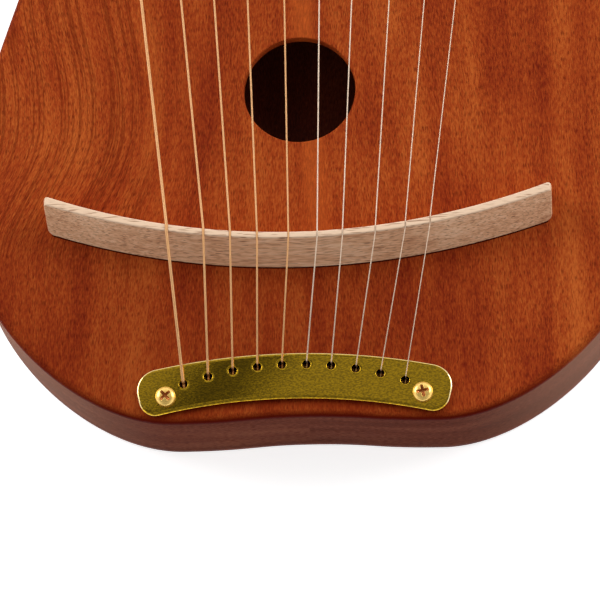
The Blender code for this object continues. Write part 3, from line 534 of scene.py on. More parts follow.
def show(mesh, finish, nodes, body="body"):
    """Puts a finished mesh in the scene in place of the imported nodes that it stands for."""
    piece = bpy.data.objects.new(mesh.name, mesh)
    bpy.context.scene.collection.objects.link(piece)
    mesh.materials.append(finish.material)
    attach(piece, body)
    if nodes:
        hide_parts(*nodes)
    print(f"{mesh.name}: {len(mesh.polygons)} faces")


# %% [markdown]
# ## The outline
#
# Half of the outline is a chain of six cubic curves: the dip and lobe of the tail, the lower bout, the
# waist, the arm, the horn and the head. A curve's handles lie along the headings at its ends and reach
# a share of its span, so a few numbers give a smooth line. Points are drawn from the tail, as a maker
# measures, and moved so that the middle of the length lies on the origin.

# %% Lines of the body
BODY_LENGTH = 0.412
OUTLINE = ((0, 0.0019, 0), (0.0462, 0, 0), (0.122, 0.080, 90), (0.093, 0.226, 90), (0.108, 0.360, 90))
OUTLINE += ((0.091, 0.412, 180), (0, 0.399, 180))
OUTLINE_SHARES = ((0.452, 0.523), (0.310, 0.361), (0.369, 0.336))
OUTLINE_SHARES += ((0.341, 0.371), (0.548, 0.201), (0.326, 0.544))
WINDOW = ((0, 0.196, 0), (0.067, 0.240, 90), (0.085, 0.324, 90), (0, 0.350, 180))
WINDOW_SHARES = ((0.449, 0.349), (0.349, 0.419), (0.191, 0.720))
STEPS_PER_CURVE = 56


def chain(stations, shares):
    """A chain of cubics: s^3 start + 3 s^2 t leave + 3 s t^2 arrive + t^3 end, with s = 1 - t."""
    stations, shares = np.array(stations, float), np.array(shares, float)
    start, end = stations[:-1, :2], stations[1:, :2]
    heading = np.radians(stations[:, 2])
    along = np.stack([np.cos(heading), np.sin(heading)], axis=1)
    span = np.linalg.norm(end - start, axis=1, keepdims=True)
    leave = start + along[:-1] * span * shares[:, :1]
    arrive = end - along[1:] * span * shares[:, 1:]
    t = (np.arange(STEPS_PER_CURVE) / STEPS_PER_CURVE)[None, :, None]
    s = 1 - t
    curves = s**3 * start[:, None] + 3 * s * s * t * leave[:, None]
    curves = curves + 3 * s * t * t * arrive[:, None] + t**3 * end[:, None]
    return np.vstack([curves.reshape(-1, 2), stations[-1:, :2]])


def along_of(line, closed):
    """Unit direction at each point of a line, from its neighbours."""
    if closed:
        return unit(np.roll(line, -1, axis=0) - np.roll(line, 1, axis=0))
    return unit(np.gradient(line, axis=0))


def moved_left(line, distance, closed=True):
    """A line moved to its left: inwards, for a closed line that runs counterclockwise."""
    along = along_of(line, closed)
    return line + np.stack([-along[:, 1], along[:, 0]], axis=1) * distance


def both_halves(half):
    """The closed line of a right half, from its lower middle to its upper middle, and its mirror."""
    return np.vstack([half, half[-2:0:-1] * (-1, 1)])


def mirror(line):
    return line[::-1] * (-1, 1)


def parted(line, axis, limit):
    """The two parts of a line either side of its first crossing of a limit, both ending on it."""
    beyond = line[:, axis] > limit
    at = int(np.argmax(beyond != beyond[0]))
    share = (limit - line[at - 1, axis]) / (line[at, axis] - line[at - 1, axis])
    crossing = line[at - 1] + (line[at] - line[at - 1]) * share
    return np.vstack([line[:at], crossing]), np.vstack([crossing, line[at:]])


def circle(x, y, radius, sides):
    turn = full_turn(sides)
    return np.stack([x + radius * np.cos(turn), y + radius * np.sin(turn)], axis=1)


outline_half = chain(OUTLINE, OUTLINE_SHARES)
window_half = chain(WINDOW, WINDOW_SHARES)
print("outline points:", len(both_halves(outline_half)))

# %% [markdown]
# ## Plates and walls
#
# A soundboard, a back and a brass tailpiece are the same thing to model: a flat piece between two
# heights, cut to a line, with holes and rounded edges. Rings of points climb each edge, a quarter
# circle where it is rounded, and a last ring just inside keeps the face flat in the light. Then one
# fill closes the face between the rings.

# %% Plates
FLAT_LIP = 0.0006
EDGE_STEPS = 8
STAIN_AND_HIGHLIGHT_LEAST = 0.0005


def edge_rings(low, high, low_round, high_round):
    """How far in and how high each ring of an edge lies: r (1 - cos a) in, r (1 - sin a) from the face."""
    turn = np.linspace(0, math.pi / 2, EDGE_STEPS + 1)
    rings = []
    for face, way, radius in ((low, 1, low_round), (high, -1, high_round)):
        inset, height = radius * (1 - np.cos(turn)), face + way * radius * (1 - np.sin(turn))
        climb = [*zip(inset, height), (radius + FLAT_LIP, face)] if radius else [(0.0, face)]
        rings += climb[::-way]
    return np.array(rings).T


def plate(name, outline, low, high, holes=(), low_round=0.0, high_round=0.0):
    """A flat piece. Each hole is (line, low rounding, high rounding, floor or None for a through hole)."""
    points, faces, around, stain_and_highlight = [], [], [], []
    low_rings, high_rings = [], []
    walls = [(outline, low_round, high_round, None, 1.0)] + [(*hole, -1.0) for hole in holes]
    for line, wall_low_round, wall_high_round, floor_height, side_of in walls:
        line = np.asarray(line, float) - (0, BODY_LENGTH / 2)
        base = low if floor_height is None else floor_height
        inset, height = edge_rings(base, high, wall_low_round, wall_high_round)
        first, count = sum(len(part) for part in points), len(line)
        rings = np.stack([moved_left(line, side_of * reach) for reach in inset])
        levels = np.repeat(height[:, None, None], count, axis=1)
        points.append(np.concatenate([rings, levels], axis=2).reshape(-1, 3))
        wall_faces = np.array(quads(len(inset), count)) + first
        faces += (wall_faces if side_of > 0 else wall_faces[:, ::-1]).tolist()
        step = np.linalg.norm(np.roll(line, -1, axis=0) - line, axis=1)
        distance = np.concatenate([[0.0], np.cumsum(step)[:-1]])
        around.append(np.tile(distance, len(inset)))
        # How far down a rounded top edge each point lies. The soundboard is stained darker by it, and the
        # brass gets a painted pale highlight by it.
        rounded = np.clip((high - height) / max(wall_high_round, STAIN_AND_HIGHLIGHT_LEAST), 0, 1)
        stain_and_highlight.append(np.repeat(rounded if wall_high_round > STAIN_AND_HIGHLIGHT_LEAST else 0 * rounded, count))
        low_ring = np.arange(first, first + count)
        high_ring = low_ring + (len(inset) - 1) * count
        high_rings.append(high_ring)
        if floor_height is None:
            low_rings.append(low_ring)
        else:
            faces.append(low_ring.tolist())
    attributes = {"around": np.concatenate(around), "edge_stain": np.concatenate(stain_and_highlight)}
    mesh = mesh_of(name, np.vstack(points), faces, attributes)
    bm = bmesh.new()
    bm.from_mesh(mesh)
    bm.verts.ensure_lookup_table()
    for rings in (low_rings, high_rings):
        rim = []
        for ring in rings:
            for start, end in zip(ring.tolist(), np.roll(ring, -1).tolist()):
                rim.append(bm.edges.get((bm.verts[start], bm.verts[end])))
        bmesh.ops.triangle_fill(bm, use_beauty=True, use_dissolve=False, edges=rim)
    bm.to_mesh(mesh)
    bm.free()
    return finished(mesh)


# %% [markdown]
# ## The fittings' places
#
# The strings decide where everything else is drilled: ten holes on a shallow arc in the tailpiece, ten
# channels below them, ten pins on another arc in the head, and the two screws.

# %% Rows of holes, pins and screws
STRINGS = 10
GAP = 0.0003
TAILPIECE_MIDDLE = np.array((-0.0040, 0.0158))
TAIL_HOLE_PITCH, TAIL_HOLE_Y, TAIL_HOLE_ARC, TAIL_HOLE_RADIUS = 0.00857, 0.0198, 0.118, 0.0015
PIN_ROW_X, PIN_ROW_Y, PIN_PITCH, PIN_ROW_ARC = 0.0, 0.371, 0.0185, 0.400
PIN_RADIUS = 0.0025
SCREW_SPACING, SCREW_Y, SHANK_RADIUS = 0.0894, 0.0087, 0.00165
CHANNEL_RADIUS, DRILLED_SIDES = 0.0028, 32
BODY_DEPTH, FRONT_THICKNESS, BACK_THICKNESS = 0.038, 0.0035, 0.003
WALL_THICKNESS, RAIL_DEPTH = 0.005, 0.010
HEAD_JOINT, RAIL_HALF = 0.336, 0.050

number = np.arange(STRINGS)
row = number - (STRINGS - 1) / 2


def on_arc(x, radius):
    """How far a circle of that radius has left its tangent, at x: radius - sqrt(radius^2 - x^2)."""
    return radius - np.sqrt(radius**2 - x**2)


hole_x, pin_x = row * TAIL_HOLE_PITCH, row * PIN_PITCH
tail_holes = np.stack([TAILPIECE_MIDDLE[0] + hole_x, TAIL_HOLE_Y - on_arc(hole_x, TAIL_HOLE_ARC)], axis=1)
pins = np.stack([PIN_ROW_X + pin_x, PIN_ROW_Y + on_arc(pin_x, PIN_ROW_ARC)], axis=1)
screws = np.array([(TAILPIECE_MIDDLE[0] + way * SCREW_SPACING / 2, SCREW_Y) for way in (-1, 1)])
print("pin row:", round(1000 * np.ptp(pins[:, 0]), 1), "mm")


def drilled(places, radius, floor_height=None):
    """Plain holes for a plate, one at each place."""
    return [(circle(*place, radius, DRILLED_SIDES), 0.0, 0.0, floor_height) for place in places]


# %% [markdown]
# ## The wooden body
#
# The soundboard and the back are plates over the whole outline with the hand window cut out. Between
# them the side is bent round each half and grows into the solid arm, so it is cut here as the space
# between the outline and the hollow of the box. A rail closes the box under the window, and a block in
# the head holds the pins. Glued faces touch, so no seam shows.

# %% Soundboard and back
FRONT_ROUND, BACK_ROUND, WINDOW_ROUND = 0.0028, 0.0012, 0.0018
SOUND_HOLE = (-0.0026, 0.1232, 0.0200)
SOUND_HOLE_EDGE = 0.0004
front_low = BODY_DEPTH - FRONT_THICKNESS

front_holes = [(both_halves(window_half), 0.0, WINDOW_ROUND, None)]
front_holes += [(circle(*SOUND_HOLE, 160), 0.0, SOUND_HOLE_EDGE, None)]
front_holes += drilled(tail_holes, CHANNEL_RADIUS) + drilled(screws, SHANK_RADIUS + GAP)
front_holes += drilled(pins, PIN_RADIUS + GAP)
front_mesh = plate("front", both_halves(outline_half), front_low, BODY_DEPTH, front_holes, 0.0, FRONT_ROUND)
show(front_mesh, front, ["soundboard"])

back_holes = [(both_halves(window_half), BACK_ROUND, 0.0, None)] + drilled(tail_holes, CHANNEL_RADIUS)
back_mesh = plate("back", both_halves(outline_half), 0.0, BACK_THICKNESS, back_holes, BACK_ROUND, 0.0)
show(back_mesh, back, ["back_plate"])

# %% Sides, rail and head block
SHOULDER_Y = 0.172
HOLLOW_SHARES = ((0.25, 0.65),)
PIN_FLOOR = 0.014

hollow_side = moved_left(outline_half, WALL_THICKNESS, closed=False)
hollow_side[0, 0] = 0
hollow_side = hollow_side[: int(np.argmax(hollow_side[:, 1] > SHOULDER_Y))]
last_step = hollow_side[-1] - hollow_side[-2]
shoulder = (*hollow_side[-1], math.degrees(math.atan2(last_step[1], last_step[0])))
hollow_top = chain((shoulder, (0, WINDOW[0][1] - RAIL_DEPTH, 180)), HOLLOW_SHARES)
hollow_half = np.vstack([hollow_side[:-1], hollow_top])

outside_low, outside_high = parted(outline_half, 1, HEAD_JOINT)
window_low, window_high = parted(window_half, 1, HEAD_JOINT)
window_rail, window_arm = parted(window_low, 0, RAIL_HALF)
widest = int(np.argmax(hollow_half[:, 0]))
hollow_arm, hollow_rail = parted(hollow_half[widest:], 0, RAIL_HALF)
rim_inside = [window_arm[::-1], hollow_arm[::-1], hollow_half[1:widest][::-1], hollow_half[:1]]
rim_right = np.vstack([outside_low, *rim_inside])

for name, line in (("rim_right", rim_right), ("rim_left", mirror(rim_right))):
    show(plate(f"{name}_wood", line, BACK_THICKNESS, front_low), side, [name])

rail_line = np.vstack([mirror(hollow_rail[::-1])[:-1], hollow_rail[::-1]])
rail_line = np.vstack([rail_line, window_rail[::-1], mirror(window_rail[::-1])[1:]])
show(plate("rail", rail_line, BACK_THICKNESS, front_low), side, ["waist_rail"])

head_inside = [mirror(window_high[::-1]), window_high[::-1][1:]]
head_line = np.vstack([outside_high, mirror(outside_high)[1:], *head_inside])
head = plate("head_block", head_line, BACK_THICKNESS, front_low, drilled(pins, PIN_RADIUS + GAP, PIN_FLOOR))
show(head, side, ["pin_block"])

# %% [markdown]
# ## Rings carried along
#
# The bridge, the strings, the pins and the screws are all stacks of rings, so one helper joins a stack,
# closes its ends and shades it. What differs is the formula of the rings, and all that a lathe turns
# shares even that.

# %% Stacks of rings


def stack(name, rings, attributes=None, loop=False):
    """Joins rings (rows, columns, xyz) into one skin. Its ends are closed, or joined for a closed loop."""
    rows, columns = rings.shape[:2]
    faces = quads(rows, columns, rows_closed=loop)
    if not loop:
        faces += [list(range(columns)), list(range((rows - 1) * columns, rows * columns))]
    return finished(mesh_of(name, rings, faces, attributes))


def turned(radius, height, sides):
    """Rings about Z, one for each radius: (radius cos a, radius sin a, height)."""
    radius, height, angle = np.array(radius)[:, None], np.array(height)[:, None], full_turn(sides)
    return np.stack([radius * np.cos(angle), radius * np.sin(angle), height + 0 * angle], axis=2)


def moved(rings, place):
    """Rings drawn round the origin, set down at a place measured from the tail."""
    return rings + np.array((place[0], place[1] - BODY_LENGTH / 2, place[2]))


def eased(value, low, high):
    """0 below low, 1 above high, and 3 t^2 - 2 t^3 between them."""
    t = np.clip((value - low) / (high - low), 0, 1)
    return t * t * (3 - 2 * t)


# %% [markdown]
# ## The bridge
#
# The bridge is a beech bar sawn to an arc. Its front leans back, its top is a narrow band that widens
# towards the ends, and every string lies in a small notch. A cut block would have hard corners, so this
# is one section whose four corners depend on x, stacked closer where a notch or an end needs it.

# %% Bridge
BRIDGE_MIDDLE = (-0.0024, 0.0560)
BRIDGE_HALF, PLAIN_HALF, BRIDGE_ARC, BRIDGE_SKEW = 0.0890, 0.086, 0.270, 0.4
BRIDGE_HEIGHT, BRIDGE_FOOT, FRONT_SLOPE = 0.014, 0.0117, 0.0062
TOP_MIDDLE, TOP_END = 0.0020, 0.0030
END_TOP_CORNER, END_FOOT_CORNER, END_BACK_CORNER, LONG_EDGE = 0.0013, 0.0024, 0.0018, 0.0004
BRIDGE_LOW, PAST_GROOVE = BODY_DEPTH + GAP, 0.00001
NOTCH_DEPTH, NOTCH_ROOM, NOTCH_WALL_SLOPE = 0.0005, 0.00004, 8.0
NOTCH_ROW_X, NOTCH_PITCH = -0.0006, 0.01015
NOTCH_DRIFT = np.array((-16, 12, 4, -3, 5, 4, -9, 4, 7, -8)) * 0.0001
STRING_RADII = np.array((1.05, 0.80, 0.72, 0.66, 0.60, 0.48, 0.44, 0.40, 0.36, 0.34)) * 0.0005

notch_x = NOTCH_ROW_X + row * NOTCH_PITCH + NOTCH_DRIFT - BRIDGE_MIDDLE[0]
string_height = BRIDGE_HEIGHT - NOTCH_DEPTH + STRING_RADII
skew = math.radians(BRIDGE_SKEW)


def corner_rise(x, radius):
    """How far a rounded end corner has turned in at x: radius - sqrt(radius^2 - reach^2)."""
    reach = np.clip(radius - (BRIDGE_HALF - np.abs(x)), 0, radius)
    return radius - np.sqrt(radius**2 - reach**2)


def bridge_depths(x):
    """Front foot, front crest, back crest and back foot: an arc, then the slope, the band and the foot."""
    front = on_arc(x, BRIDGE_ARC)
    crest = front + FRONT_SLOPE
    back_crest = crest + TOP_MIDDLE + (TOP_END - TOP_MIDDLE) * (x / BRIDGE_HALF) ** 2
    back_foot = np.maximum(front + BRIDGE_FOOT, back_crest + GAP)
    rounded = corner_rise(x, END_BACK_CORNER)
    return front, crest, back_crest - rounded, back_foot - rounded


def bridge_top(x):
    """Height of the top: level, less the end corners, and down to a round groove under each string."""
    radius = STRING_RADII + NOTCH_ROOM
    across = np.abs(x[:, None] - notch_x)
    groove = string_height - np.sqrt(np.clip(radius**2 - across**2, 0, None))
    groove = groove + np.clip(across - radius, 0, None) * NOTCH_WALL_SLOPE
    return np.minimum(BRIDGE_HEIGHT, groove.min(axis=1)) - corner_rise(x, END_TOP_CORNER)


def rounded_corners(corners, radius, lip=0.0003, steps=5):
    """Each corner of a polygon as a quadratic blend, s^2 a + 2 s t corner + t^2 b, with a short flat lip."""
    before, after = (unit(np.roll(corners, way, axis=1) - corners) for way in (1, -1))
    t = np.linspace(0, 1, steps)[None, None, :, None]
    middle = corners[:, :, None]
    start, end = middle + radius * before[:, :, None], middle + radius * after[:, :, None]
    blend = (1 - t) ** 2 * start + 2 * t * (1 - t) * middle + t * t * end
    blend = np.concatenate([start + lip * before[:, :, None], blend, end + lip * after[:, :, None]], axis=2)
    return blend.reshape(len(corners), -1, 2)


def on_board(along, across, height):
    """Rings in the bridge's own lengths, turned by its skew and set down in its place on the board."""
    x = along * math.cos(skew) - across * math.sin(skew)
    y = along * math.sin(skew) + across * math.cos(skew)
    return moved(np.stack([x, y, np.broadcast_to(height, x.shape)], axis=2), (*BRIDGE_MIDDLE, BRIDGE_LOW))


quarter = np.sin(np.linspace(0, math.pi / 2, 9))
end_corners = (END_TOP_CORNER, END_FOOT_CORNER, END_BACK_CORNER, LONG_EDGE)
end_x = np.concatenate([BRIDGE_HALF - corner + corner * quarter for corner in end_corners])
groove_x = notch_x + np.outer(np.linspace(-1, 1, 13), STRING_RADII + NOTCH_ROOM)
groove_wall = (BRIDGE_HEIGHT - string_height).clip(0) / NOTCH_WALL_SLOPE
groove_wall = groove_wall + STRING_RADII + NOTCH_ROOM + PAST_GROOVE
groove_x = np.concatenate([groove_x.ravel(), notch_x - groove_wall, notch_x + groove_wall])
plain_x = np.linspace(-PLAIN_HALF, PLAIN_HALF, 140)
bridge_x = np.unique(np.concatenate([plain_x, groove_x, end_x, -end_x]).round(7))

front_foot, crest, back_crest, back_foot = bridge_depths(bridge_x)
shrink = corner_rise(bridge_x, LONG_EDGE)
low, high = corner_rise(bridge_x, END_FOOT_CORNER) + shrink - GAP, bridge_top(bridge_x) - shrink
front_lean, back_lean = (crest - front_foot) / BRIDGE_HEIGHT, (back_crest - back_foot) / BRIDGE_HEIGHT
section = [(front_foot + front_lean * z + shrink, z) for z in (low, high)]
section += [(back_foot + back_lean * z - shrink, z) for z in (high, low)]
section = np.stack([np.stack(corner, axis=1) for corner in section], axis=1)
section = rounded_corners(section, LONG_EDGE)
bridge_rings = on_board(bridge_x[:, None] + 0 * section[:, :, 0], section[:, :, 0], section[:, :, 1])
show(stack("bridge_bar", bridge_rings), beech, ["bridge"])
print("bridge sections:", len(bridge_x))

# %% [markdown]
# Where the bridge stands on the board, a thin dark bead runs in the corner along its foot: a painted
# contact shadow. Its section is a small quarter circle, carried along the front and the back of the foot.

# %% Painted contact shadow along the foot
BEAD_WIDTH, BEAD_HEIGHT = 0.0004, 0.0003

contact_shadow_finish = Finish("painted_contact_shadow", Roughness=0.6, Specular_IOR_Level=0.0)
bead_cloud = contact_shadow_finish.noise(contact_shadow_finish.place, (300, 300, 300))
contact_shadow_finish.set("Base Color", contact_shadow_finish.mix(bead_cloud, paint(52, 10, 3), paint(74, 18, 6)))

bead_x = np.linspace(-1, 1, 160) * (BRIDGE_HALF - END_FOOT_CORNER * 0.6)
bead_turn = np.linspace(0, math.pi / 2, 5)
bead_out = BEAD_WIDTH * np.concatenate([np.cos(bead_turn), (-1, -1)])
bead_up = BEAD_HEIGHT * np.concatenate([np.sin(bead_turn), (1, 0)]) - GAP
bead_front, _, _, bead_back = bridge_depths(bead_x)
for label, foot, outward in (("front", bead_front, -1), ("back", bead_back, 1)):
    bead_rings = on_board(bead_x[:, None] + 0 * bead_out, foot[:, None] + outward * bead_out, bead_up)
    show(stack(f"foot_shadow_bead_{label}", bead_rings), contact_shadow_finish, [])

# %% [markdown]
# ## The tailpiece
#
# The brass plate is a rounded strip bent in its own plane, so it is drawn straight and then bent: a
# point u along and v across goes to (R + v) sin(u / R), (R + v) cos(u / R) - R. After that it is one
# more plate with holes. The attribute on its rounded edge says where a pale highlight is painted on,
# and it fades on the near side.

# %% Tailpiece
TAILPIECE_HALF, TAILPIECE_WIDTH, TAILPIECE_ARC = 0.0552, 0.0167, 0.225
LOW_CORNER, HIGH_CORNER = 0.0060, 0.0080
TAILPIECE_THICKNESS, TAILPIECE_EDGE = 0.0015, 0.0008
HOLE_EDGE, HIGHLIGHT_FADE_FROM = 0.0002, 0.006
PLATE_HIGH = BODY_DEPTH + GAP + TAILPIECE_THICKNESS


def quarter_round(corner, first_angle, across, up):
    """A corner of the strip: its centre lies one radius in, and a quarter turn goes round it."""
    turn = np.radians(np.linspace(first_angle, first_angle + 90, 17))
    u = across * (TAILPIECE_HALF - corner) + corner * np.cos(turn)
    return u, up * (TAILPIECE_WIDTH / 2 - corner) + corner * np.sin(turn)


def long_edge(corner, across, up):
    u = np.linspace(-across, across, 71)[1:-1] * (TAILPIECE_HALF - corner)
    return u, np.full(len(u), up * TAILPIECE_WIDTH / 2)


strip = [long_edge(LOW_CORNER, 1, -1), quarter_round(LOW_CORNER, -90, 1, -1)]
strip += [quarter_round(HIGH_CORNER, 0, 1, 1), long_edge(HIGH_CORNER, -1, 1)]
strip += [quarter_round(HIGH_CORNER, 90, -1, 1), quarter_round(LOW_CORNER, 180, -1, -1)]
strip_u, strip_v = np.concatenate(strip, axis=1)
bent_radius = TAILPIECE_ARC + strip_v
bent_x = bent_radius * np.sin(strip_u / TAILPIECE_ARC)
bent_y = bent_radius * np.cos(strip_u / TAILPIECE_ARC) - TAILPIECE_ARC
tailpiece_line = np.stack([bent_x, bent_y], axis=1) + TAILPIECE_MIDDLE

holes = [(circle(*place, TAIL_HOLE_RADIUS, 48), 0.0, HOLE_EDGE, None) for place in tail_holes]
holes += drilled(screws, SHANK_RADIUS + GAP)
tailpiece = plate("brass_tailpiece", tailpiece_line, BODY_DEPTH, PLATE_HIGH, holes, 0.0, TAILPIECE_EDGE)

# The painted highlight on the brass's rounded edge fades out towards the plate's near edge.
places = np.empty(3 * len(tailpiece.vertices))
tailpiece.vertices.foreach_get("co", places)
bend_centre = TAILPIECE_MIDDLE - (0, BODY_LENGTH / 2 + TAILPIECE_ARC)
across = np.linalg.norm(places.reshape(-1, 3)[:, :2] - bend_centre, axis=1) - TAILPIECE_ARC
layer = tailpiece.attributes["edge_stain"].data
highlight_share = np.empty(len(layer), np.float32)
layer.foreach_get("value", highlight_share)
layer.foreach_set("value", (highlight_share * eased(across, -HIGHLIGHT_FADE_FROM, 0.0)).astype(np.float32))
show(tailpiece, brass, ["tailpiece"])

# %% [markdown]
# ## The two screws
#
# A pan head is a dome over polar coordinates, and its cross is a height taken away from the dome: two
# arms, deepest in the middle, that run out softly as a pressed recess does. The same stack goes on down
# the side of the head and along the shank to its point.

# %% Screws
HEAD_RADIUS, HEAD_HEIGHT, HEAD_SIDE, DOME_FULLNESS = 0.0035, 0.0022, 0.0005, 0.7
CROSS_HALF, CROSS_HALF_WIDTH, CROSS_DEPTH, CROSS_SOFTNESS = 0.0022, 0.00042, 0.0012, 0.00022
SCREW_LENGTH, SCREW_POINT, POINT_RADIUS, SCREW_SIDES = 0.020, 0.004, 0.0001, 144
SCREW_TURNS = (42.0, 12.0)


def cross_recess(across, along):
    """Depth of one arm: full in the middle, running out along the arm, with soft walls beside it."""
    wall = 1 - eased(np.abs(across), CROSS_HALF_WIDTH - CROSS_SOFTNESS, CROSS_HALF_WIDTH + CROSS_SOFTNESS)
    return CROSS_DEPTH * wall * np.sqrt(np.clip(1 - (np.abs(along) / CROSS_HALF) ** 2, 0, 1))


def screw_rings(turn):
    """Head and shank as rings: radius and height by row, and the cross taken off the dome."""
    radius = HEAD_RADIUS * np.linspace(0.002, 1, 70) ** 0.8
    dome = np.sqrt(1 - (radius / HEAD_RADIUS) ** (2 / DOME_FULLNESS))
    height = HEAD_SIDE + (HEAD_HEIGHT - HEAD_SIDE) * dome
    shank_radii = (HEAD_RADIUS, SHANK_RADIUS, SHANK_RADIUS, POINT_RADIUS)
    shank_heights = (-GAP, -GAP, SCREW_POINT - SCREW_LENGTH, -SCREW_LENGTH)
    rings = turned([*radius, *shank_radii], [*height, *shank_heights], SCREW_SIDES)
    angle = full_turn(SCREW_SIDES) - math.radians(turn)
    u, v = radius[:, None] * np.cos(angle), radius[:, None] * np.sin(angle)
    recess = np.zeros(rings.shape[:2])
    recess[: len(radius)] = np.maximum(cross_recess(u, v), cross_recess(v, u))
    rings[:, :, 2] -= recess
    return rings, recess / CROSS_DEPTH


for name, place, turn in zip(("left", "right"), screws, SCREW_TURNS):
    rings, recess = screw_rings(turn)
    screw = stack(f"screw_{name}", moved(rings, (*place, PLATE_HIGH + GAP)), {"recess": recess})
    show(screw, gold, [f"tailpiece_screw_{name}"])

# %% [markdown]
# ## Ball ends and strings
#
# Each string is looped round the waist of a small brass barrel, comes up through its hole, bends over
# the edge, climbs to its notch, crosses it, and runs to its pin, where it winds about three times. The
# centre line is worked out in that order, and a ring carried along it makes the string. A bevelled
# curve would look the same, but could not carry the length that the winding wire needs.

# %% Ball ends
BALL_RADIUS, BALL_WAIST, BALL_BORE, BALL_LENGTH = 0.0019, 0.0014, 0.0006, 0.0036
BALL_EDGE = 0.00025
ABOUT_X = [2, 0, 1]

barrel_x = np.linspace(-0.5, 0.5, 25)
barrel_waist = BALL_RADIUS - (BALL_RADIUS - BALL_WAIST) * (1 - eased(np.abs(barrel_x), 0.14, 0.30))
barrel_round = BALL_EDGE * eased(np.abs(barrel_x), 0.42, 0.5) ** 2
barrel = np.stack([barrel_x * BALL_LENGTH, barrel_waist - barrel_round], axis=1)
bore = np.array([(0.5 * BALL_LENGTH, BALL_BORE + BALL_EDGE / 2), (0.45 * BALL_LENGTH, BALL_BORE)])
barrel_profile = np.vstack([barrel, bore, bore[::-1] * (-1, 1)])
barrel_rings = turned(barrel_profile[:, 1], barrel_profile[:, 0], 40)[:, :, ABOUT_X]
for index, hole in enumerate(tail_holes):
    rings = moved(barrel_rings, (*hole, BODY_DEPTH - BALL_RADIUS))
    show(stack(f"ball_{index + 1}", rings, loop=True), ball_brass, [f"ball_end_{index + 1}"])

# %% Strings
PIN_HOLE_HEIGHT = 0.0105
WINDING_TURNS = (3.2, 2.9, 3.3, 3.0, 3.4, 3.1, 2.9, 3.3, 3.0, 3.2)
WINDING_SPACING = 0.00058
STRING_ROOM = 0.00005
WOUND_STRINGS = 5


def string_path(index):
    """Centre line, heading and last angle: barrel loop, hole bend, bridge crossing, pin winding."""
    radius, hole, pin = STRING_RADII[index], tail_holes[index], pins[index]
    _, *crests, _ = bridge_depths(notch_x[index])
    turn = np.array(((math.cos(skew), -math.sin(skew)), (math.sin(skew), math.cos(skew))))
    crossing = np.array([(notch_x[index], depth) for depth in crests]) @ turn.T + BRIDGE_MIDDLE
    crossing = np.column_stack([crossing, np.full(2, BRIDGE_LOW + string_height[index])])
    towards = unit(crossing[0, :2] - hole)

    bend = radius + STRING_ROOM
    edge = hole + towards * TAIL_HOLE_RADIUS
    rise = math.atan2(crossing[0, 2] - PLATE_HIGH - bend, np.linalg.norm(crossing[0, :2] - edge))
    loop_turn = np.radians(np.linspace(-320, 0, 30))
    loop_reach = BALL_WAIST + radius
    reach = np.concatenate([loop_reach * np.cos(loop_turn), (TAIL_HOLE_RADIUS - bend,)])
    level = np.concatenate([BODY_DEPTH - BALL_RADIUS + loop_reach * np.sin(loop_turn), (BODY_DEPTH,)])
    bend_turn = np.linspace(0, math.pi / 2 - rise, 9)
    reach = np.concatenate([reach, TAIL_HOLE_RADIUS - bend * np.cos(bend_turn)])
    level = np.concatenate([level, PLATE_HIGH + bend * np.sin(bend_turn)])
    start = np.column_stack([hole + reach[:, None] * towards, level])

    winding = PIN_RADIUS + radius + STRING_ROOM
    to_pin = pin - crossing[1, :2]
    distance = np.linalg.norm(to_pin)
    lean = math.asin(winding / distance)
    across = np.array((-to_pin[1], to_pin[0])) / distance
    run = to_pin / distance * math.cos(lean) + across * math.sin(lean)
    leave = crossing[1, :2] + run * distance * math.cos(lean) - pin
    turns = np.linspace(0, WINDING_TURNS[index], round(64 * WINDING_TURNS[index]))
    angle = math.atan2(leave[1], leave[0]) - 2 * math.pi * turns
    pitch = 2 * radius + WINDING_SPACING
    coil_height = BODY_DEPTH + PIN_HOLE_HEIGHT + (turns - turns[-1]) * pitch
    coil = np.column_stack([pin[0] + winding * np.cos(angle), pin[1] + winding * np.sin(angle), coil_height])
    path = np.vstack([start, crossing, coil])
    round_pin = np.column_stack([np.sin(angle), -np.cos(angle)])
    heading = np.vstack([np.tile(towards, (len(start), 1)), unit(towards + run), run, round_pin])
    return path, heading, angle[-1]


def tube(path, heading, radius, sides=16):
    """A ring round each point of a path, square to it: centre + radius (cos a side + sin a other)."""
    along = unit(np.gradient(path, axis=0))
    side_way = np.column_stack([-heading[:, 1], heading[:, 0], np.zeros(len(path))])
    other = unit(np.cross(along, side_way))
    turn = full_turn(sides)[None, :, None]
    return path[:, None] + radius * (np.cos(turn) * side_way[:, None] + np.sin(turn) * other[:, None])


pin_turns = []
for index in range(STRINGS):
    path, heading, last_angle = string_path(index)
    pin_turns.append(last_angle)
    path[:, 1] -= BODY_LENGTH / 2
    step = np.linalg.norm(np.diff(path, axis=0), axis=1)
    rings = tube(path, heading, STRING_RADII[index])
    length = np.repeat(np.concatenate([[0.0], np.cumsum(step)]), rings.shape[1])
    finish = bronze if index < WOUND_STRINGS else steel
    show(stack(f"wire_{index + 1}", rings, {"along": length}), finish, [f"string_{index + 1}"])
    print(f"string {index + 1}: {2000 * STRING_RADII[index]:.2f} mm thick, {1000 * step.sum():.0f} mm long")

# %% [markdown]
# ## Tuning pins
#
# A tuning pin is a round steel rod whose head is pressed to a tapered square for the tuning key, with a
# small cross hole for the string. Each ring starts as a circle, and where a point lies beyond the
# square it is pulled in to it, so the corners stay round, as they do on the real pin.

# %% Tuning pins
PIN_ABOVE, PIN_BELOW, PIN_POINT, PIN_POINT_RADIUS = 0.021, 0.022, 0.003, 0.0017
SQUARE_WIDTH, SQUARE_TOP, SQUARE_LENGTH, SQUARE_RUN_OUT = 0.0046, 0.0038, 0.0085, 0.0009
PIN_EDGE = 0.0003
PIN_HOLE_RADIUS = 0.0008


